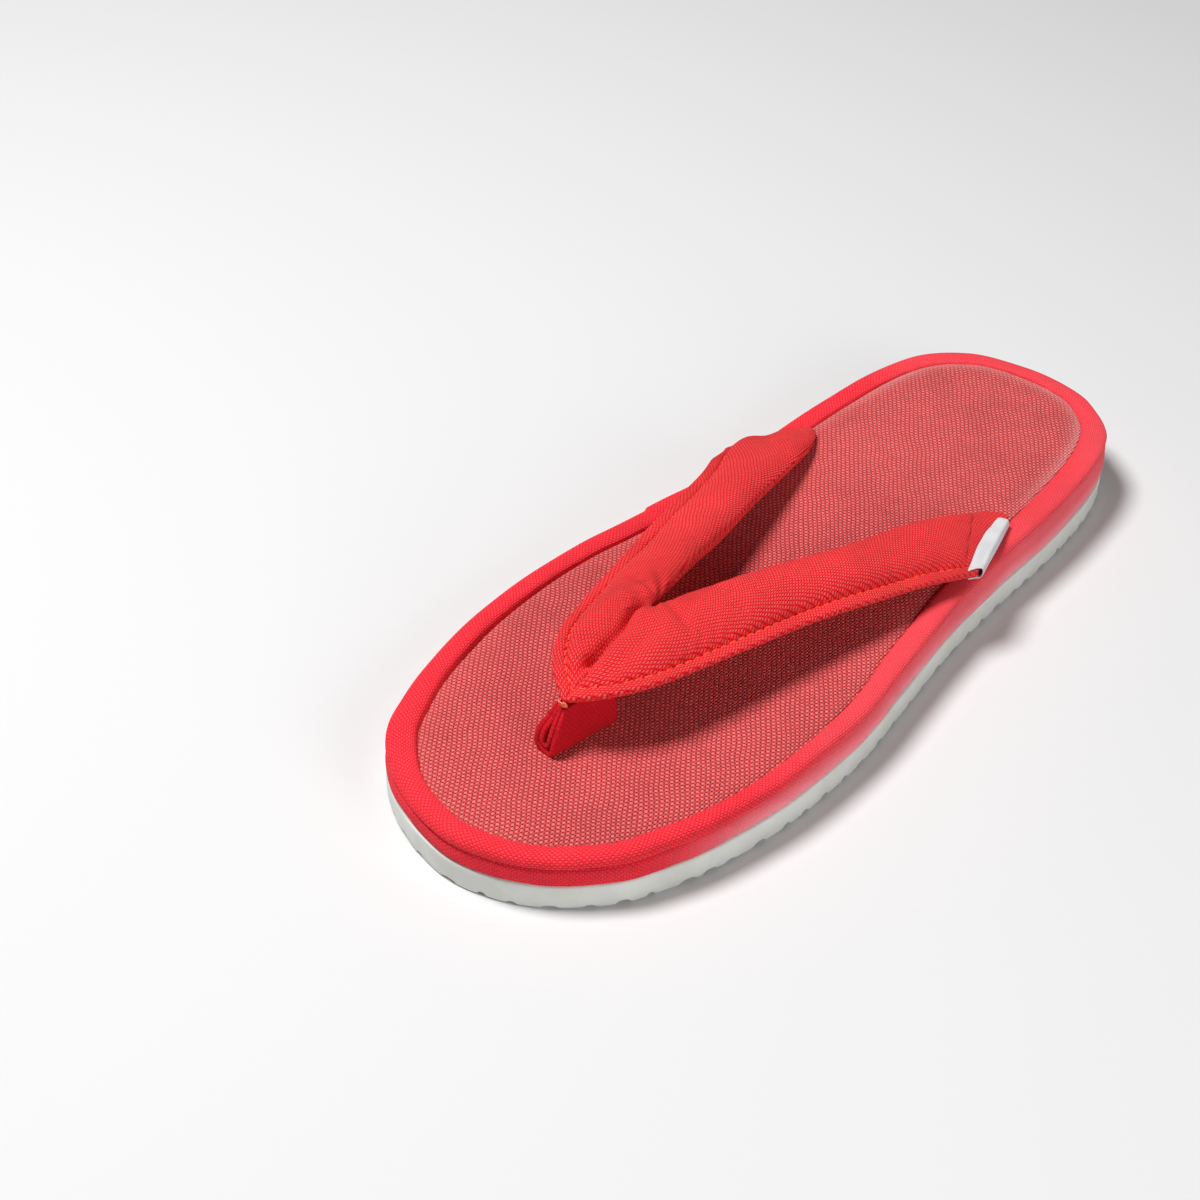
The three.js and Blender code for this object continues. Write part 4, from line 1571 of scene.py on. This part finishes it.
@dataclass
class Stitches:
    """Rows of single stitches, each a short length of thread lying in the cloth."""

    length: float = 2.1
    thickness: float = 0.62
    pitch: float = 2.7

    def build(self, name: str, lines: list[tuple[np.ndarray, np.ndarray]]) -> bpy.types.Object:
        """Lays stitches along lines.

        Args:
            name: Name of the piece.
            lines: Places and upward directions of each line.

        Returns:
            One object with all the stitches.
        """
        deselect_all()
        bpy.ops.mesh.primitive_uv_sphere_add(segments=8, ring_count=6, radius=0.5)
        pattern = bpy.context.object
        edit(
            pattern,
            lambda: bpy.ops.transform.rotate(value=math.pi / 2, orient_axis="Y", center_override=(0, 0, 0)),
            lambda: bpy.ops.transform.resize(
                value=(self.length * MM, self.thickness * MM, self.thickness * MM), center_override=(0, 0, 0)
            ),
        )
        copies = []
        for line, up in lines:
            run = run_along(line)
            for start in np.arange(0.5 * self.pitch, run[-1], self.pitch):
                place = np.array([np.interp(start, run, line[:, k]) for k in range(3)])
                later = np.array([np.interp(start + 0.5, run, line[:, k]) for k in range(3)])
                lift = np.array([np.interp(start, run, up[:, k]) for k in range(3)])
                copies.append(self._laid(pattern, place, later - place, lift))
        bpy.data.objects.remove(pattern)
        made = join(name, copies)
        edit(made, lambda: bpy.ops.mesh.faces_shade_smooth())
        return made

    def bar_tack(self, name: str, tip: np.ndarray) -> bpy.types.Object:
        """Short threads wound side by side over the tip of the V.

        Args:
            name: Name of the piece.
            tip: Place of the tip.

        Returns:
            One object with all the threads.
        """
        lines = []
        for row in range(6):
            drop = row * 0.3
            half = 1.25 - 0.1 * abs(row - 2)
            across = np.linspace(-half, half, 7)
            bow = 0.5 * (across / half) ** 2
            line = np.stack([across, 0.45 - bow * 1.2 - 0.12 * row, 0.55 - drop - bow * 0.2], axis=1) + tip
            lines.append((line, np.tile([0.0, 0.8, 0.6], (7, 1))))
        return self.build(name, lines)

    def _laid(
        self, pattern: bpy.types.Object, place: np.ndarray, ahead: np.ndarray, up: np.ndarray
    ) -> bpy.types.Object:
        """One stitch, copied to its place.

        Args:
            pattern: The stitch to copy.
            place: Its place.
            ahead: Direction of the thread.
            up: Direction out of the cloth.

        Returns:
            The copy.
        """
        x = Vector(ahead).normalized()
        z = Vector(up)
        y = z.cross(x).normalized()
        z = x.cross(y)
        turn = Matrix((x, y, z)).transposed().to_4x4()
        copy = bpy.data.objects.new("stitch", pattern.data.copy())
        copy.data.transform(Matrix.Translation(Vector(place * MM)) @ turn)
        bpy.context.scene.collection.objects.link(copy)
        return copy


# Toe post and label


class BandPoint(NamedTuple):
    """Point of the folded band seen from the toe: place across, and share of the height."""

    across: float
    rise: float


OUTER_FOLD = (
    BandPoint(1.25, 1.04), BandPoint(1.55, 0.86), BandPoint(2.35, 0.62), BandPoint(3.15, 0.38),
    BandPoint(3.1, 0.2), BandPoint(2.3, 0.07), BandPoint(0.9, 0.01), BandPoint(-0.8, 0.01),
    BandPoint(-1.95, 0.06), BandPoint(-2.5, 0.2), BandPoint(-2.5, 0.45), BandPoint(-2.05, 0.75),
    BandPoint(-1.55, 1.04),
)
INNER_FOLD = (
    BandPoint(0.42, 1.02), BandPoint(0.5, 0.86), BandPoint(0.9, 0.64), BandPoint(1.55, 0.42),
    BandPoint(1.6, 0.27), BandPoint(1.05, 0.16), BandPoint(0.2, 0.13), BandPoint(-0.6, 0.17),
    BandPoint(-0.95, 0.3), BandPoint(-0.85, 0.5), BandPoint(-0.62, 0.78), BandPoint(-0.55, 1.02),
)


@dataclass
class ToePost:
    """Two layers of cloth band folded up round each other, running front to back under the V."""

    front: float = 88.9
    length: float = 19.6
    lean: float = 4.4
    height: float = 13.2
    turn: float = -9.0
    cloth: float = 1.42
    top_cloth: float = 0.88
    inner_step: float = 0.35
    foot_lift: float = 0.75

    def build(self) -> bpy.types.Object:
        """Makes the folded band.

        Returns:
            The band.
        """
        outer = self._layer(OUTER_FOLD, 0.0, 61)
        inner = self._layer(INNER_FOLD, self.inner_step, 62)
        return join("toe_post_band", [outer, inner])

    def _layer(self, folds: Sequence[BandPoint], step: float, seed: int) -> bpy.types.Object:
        """One layer of the band.

        Args:
            folds: The layer's line seen from the toe.
            step: How far its front edge sits behind the outer layer's.
            seed: Picks its wrinkles.

        Returns:
            The layer with its thickness and soft edges.
        """
        fold = curve_through(np.array([[p.across, p.rise] for p in folds]), False, 84)
        depth = np.linspace(0.0, 1.0, 26)
        base = LAST.bed_edge(self.front) + self.foot_lift
        across = np.broadcast_to(fold[None, :, 0], (len(depth), len(fold)))
        rise = np.broadcast_to(fold[None, :, 1], across.shape)
        front = self.front - step - self.lean * np.clip(rise, 0.0, 1.1) ** 1.5
        bow = 0.5 * np.sin(math.pi * np.clip(rise, 0.0, 1.0))
        y = front - depth[:, None] * (front - (self.front - self.length)) + bow * (1.0 - depth[:, None])
        wrinkle = 0.14 * soft_noise(y, rise * self.height, 9.0, seed) * smooth(depth, 0.0, 0.4)[:, None]
        angle = math.radians(self.turn)
        middle = self.front - self.length / 2
        x = across + wrinkle
        plan_x = x * math.cos(angle) - (y - middle) * math.sin(angle) + 0.1
        plan_y = x * math.sin(angle) + (y - middle) * math.cos(angle) + middle
        points = np.stack([plan_x, plan_y, base + rise * (self.height - 2.0)], axis=2)
        cloth = np.stack([run_lengths(points, 1), run_lengths(points, 0)], axis=2)
        made = shaped_grid("toe_post_layer", points, cloth)
        thin = made.vertex_groups.new(name="thickness")
        share = self.top_cloth / self.cloth
        for vertex in made.data.vertices:
            high = (vertex.co.z / MM - base) / self.height
            thin.add([vertex.index], 1.0 - (1.0 - share) * float(smooth(high, 0.35, 1.0)), "REPLACE")
        apply_modifier(
            made, "SOLIDIFY", thickness=self.cloth * MM, offset=0.0, vertex_group=thin.name, use_rim=True
        )
        apply_modifier(
            made, "BEVEL", width=0.36 * MM, segments=3, limit_method="ANGLE", angle_limit=math.radians(50)
        )
        finish_shape(made)
        return made


@dataclass
class Label:
    """Plain white ribbon folded over the end of the lateral strap, left blank."""

    strap: Strap
    ribbon: float = 0.3
    clear: float = 0.42
    top_reach: float = 3.6
    under_reach: float = 2.8
    fold_reach: float = 1.2
    start: float = 0.03
    end: float = 0.84

    def build(self) -> bpy.types.Object:
        """Makes the folded ribbon.

        Returns:
            The ribbon.
        """
        share = np.linspace(self.start, self.end, 44)
        slant = smooth(share, 0.3, 1.0)
        path = (
            (self.top_reach, 1.0, 0.18), (0.7 * self.top_reach, 1.0, 0.34),
            (0.35 * self.top_reach, 1.0, self.clear), (0.3, 1.0, self.clear),
            (-0.7, 0.9, self.clear), (-self.fold_reach, 0.0, 0.0), (-0.7, -0.9, self.clear),
            (0.3, -1.0, self.clear), (self.under_reach, -1.0, self.clear),
        )
        columns = []
        for reach, sign, lift in path:
            inward = max(0.0, reach) * (1.0 - 0.55 * slant)
            columns.append(self._spots(share, inward, sign, lift, min(0.0, reach)))
        points = np.stack(columns, axis=1)
        for _ in range(8):
            points[1:-1] = 0.5 * points[1:-1] + 0.25 * (points[:-2] + points[2:])
        fine = np.stack([curve_through(row, False, 30) for row in points])
        cloth = np.stack([run_lengths(fine, 1), run_lengths(fine, 0)], axis=2)
        made = shaped_grid("side_label_ribbon", fine, cloth)
        apply_modifier(made, "SOLIDIFY", thickness=self.ribbon * MM, offset=0.0)
        finish_shape(made)
        return made

    def _station(self, share: np.ndarray, inward: np.ndarray) -> np.ndarray:
        """Shares of the strap's length that lie a distance in from its end, at shares of its width.

        Args:
            share: Shares of the strap's width.
            inward: Distances in from its end.

        Returns:
            A share of the length for each of them.
        """
        fine = np.linspace(0.0, 0.3, 120)
        frames = self.strap.frames(fine)
        found = []
        for across, reach in zip(share, inward):
            line = frames.outer + frames.across * (across * frames.width)[:, None]
            run = run_along(line)
            found.append(np.interp(reach, run, fine))
        return np.array(found)

    def _spots(
        self, share: np.ndarray, inward: np.ndarray, sign: float, lift: float, beyond: float
    ) -> np.ndarray:
        """Places along the ribbon.

        Args:
            share: Shares of the strap's width.
            inward: Distances along the strap from its end, one for each share.
            sign: 1 over the strap, -1 under it, and between them round the fold.
            lift: Height clear of the strap's cloth.
            beyond: Distance past the strap's end, as a negative number.

        Returns:
            One place for each share.
        """
        t = self._station(share, inward)
        frames = self.strap.frames(t)
        place = share[:, None] * frames.width[:, None]
        run = self.strap.run_at(t)
        over = self.strap.surface(frames, place, run, True)[:, 0]
        under = self.strap.surface(frames, place, run, False)[:, 0]
        turned = frames.up * [-1.0, 1.0, 1.0]
        spot = over * (1.0 + sign) / 2.0 + under * (1.0 - sign) / 2.0
        return spot + turned * np.sign(sign) * lift + frames.ahead * [-1.0, 1.0, 1.0] * beyond


# Studio


@dataclass
class Studio:
    """Pale floor, soft light and the camera at the photograph's angle."""

    camera_place: tuple[float, float, float] = (-267.60, 402.87, 374.41)
    camera_ahead: tuple[float, float, float] = (0.499569, -0.618636, -0.6064)
    camera_up: tuple[float, float, float] = (0.397375, -0.458364, 0.794982)
    lens: float = 71.48
    room: float = 0.09

    def build(self) -> None:
        """Makes floor, lights and camera."""
        deselect_all()
        bpy.ops.mesh.primitive_plane_add(size=6.0, location=(0.0, 0.0, 0.0))
        floor = bpy.context.object
        floor.name = "paper_floor"
        dress(floor, PAPER.build())
        self._camera()
        self._lights()

    def _camera(self) -> None:
        """Places the camera."""
        data = bpy.data.cameras.new("camera")
        data.lens, data.sensor_width = self.lens, 36.0
        data.clip_start, data.clip_end = 0.01, 20.0
        camera = bpy.data.objects.new("camera", data)
        back = -Vector(self.camera_ahead).normalized()
        up = Vector(self.camera_up)
        right = up.cross(back).normalized()
        up = back.cross(right)
        turn = Matrix((right, up, back)).transposed().to_4x4()
        camera.matrix_world = Matrix.Translation(Vector(self.camera_place) * MM) @ turn
        bpy.context.scene.collection.objects.link(camera)
        bpy.context.scene.camera = camera

    def _lights(self) -> None:
        """Soft light from high on the medial side, a weaker one on the lateral side and an even room."""
        scene = bpy.context.scene
        scene.view_settings.view_transform = "Standard"
        world = bpy.data.worlds.new("studio")
        world.use_nodes = True
        background = world.node_tree.nodes["Background"]
        background.inputs["Color"].default_value = (1.0, 1.0, 1.0, 1.0)
        background.inputs["Strength"].default_value = self.room
        scene.world = world
        for name, place, size, power in (
            ("key", (0.4, 0.26, 1.1), 0.4, 16.8),
            ("fill", (-0.92, 0.22, 0.42), 0.6, 4.4),
        ):
            data = bpy.data.lights.new(name, "AREA")
            data.shape, data.size, data.energy = "DISK", size, power
            light = bpy.data.objects.new(name, data)
            light.matrix_world = Matrix.Translation(Vector(place)) @ Vector(place).to_track_quat(
                "Z", "Y"
            ).to_matrix().to_4x4()
            scene.collection.objects.link(light)


# Assembly


@dataclass(frozen=True)
class Cut:
    """Flat size a band or ribbon was cut to, in millimetres, and how it is held."""

    width: float
    length: float
    held: str
    rests_on: tuple[str, ...]


@dataclass
class Piece:
    """A finished piece, and the slot, fill share and cut kept with it."""

    obj: bpy.types.Object
    material: bpy.types.Material
    slot: str
    nodes: tuple[str, ...] = ()
    fill: float | None = None
    cut: Cut | None = None

    def fit(self) -> None:
        """Dresses the piece and puts it on the shoe."""
        dress(self.obj, self.material)
        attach(self.obj, "root")
        if self.nodes:
            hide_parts(*self.nodes)
        LOG.info("%s: %d faces", self.obj.name, len(self.obj.data.polygons))


POST_CUT = Cut(19.0, 48.0, "folded", ("insole_footbed",))
LABEL_CUT = Cut(10.0, 26.0, "folded", ("strap_covers",))


class ZoriSandal:
    """The whole shoe, layer by layer."""

    def sole(self) -> list[Piece]:
        """Outsole, wrapped midsole, rim and footbed.

        Returns:
            The pieces, from the ground up.
        """
        return [
            Piece(Outsole().build(), FOAM.build(), "outsole_foam", ("outsole",)),
            Piece(SideWall().build(), WALL_CLOTH.build(), "side_cloth", ("midsole",), 1.0),
            Piece(Rim().build(), RIM_CLOTH.build(), "binding_cloth", ("edge_binding",), 0.8),
            Piece(Insole().build(), INSOLE_CLOTH.build(), "insole_cloth", ("insole",), 1.0),
        ]

    def upper(self) -> list[Piece]:
        """Straps, their stitching, toe post and label.

        Returns:
            The pieces.
        """
        straps = [Strap(Side.LATERAL, seed=41), Strap(Side.MEDIAL, seed=57)]
        stitching = Stitches().build("strap_topstitch", [s.stitch_line() for s in straps])
        tip = straps[0].frames(np.ones(1)).outer[0] * [0.0, 1.0, 1.0]
        tack = Stitches(length=1.2, thickness=0.34, pitch=0.85).bar_tack("tip_bar_tack", tip)
        label = Label(straps[0]).build()
        cover = join("strap_covers", [s.build() for s in straps])
        post = ToePost().build()
        return [
            Piece(cover, STRAP_CLOTH.build(), "strap_cloth", ("upper_straps",), 0.75),
            Piece(stitching, ORANGE_THREAD.build(), "strap_cloth"),
            Piece(tack, BAR_TACK_THREAD_PAINTED_HIGHLIGHT.build(), "strap_cloth"),
            Piece(post, POST_CLOTH_PAINTED_SHADE.build(), "post_cloth", ("toe_post",), cut=POST_CUT),
            Piece(label, RIBBON.build(), "label_ribbon", ("side_label",), cut=LABEL_CUT),
        ]


def main() -> None:
    """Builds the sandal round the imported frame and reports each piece."""
    logging.basicConfig(level=logging.INFO, format="%(name)s %(message)s")
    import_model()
    Studio().build()
    shoe = ZoriSandal()
    for piece in shoe.sole() + shoe.upper():
        piece.fit()


if __name__ == "__main__":
    main()
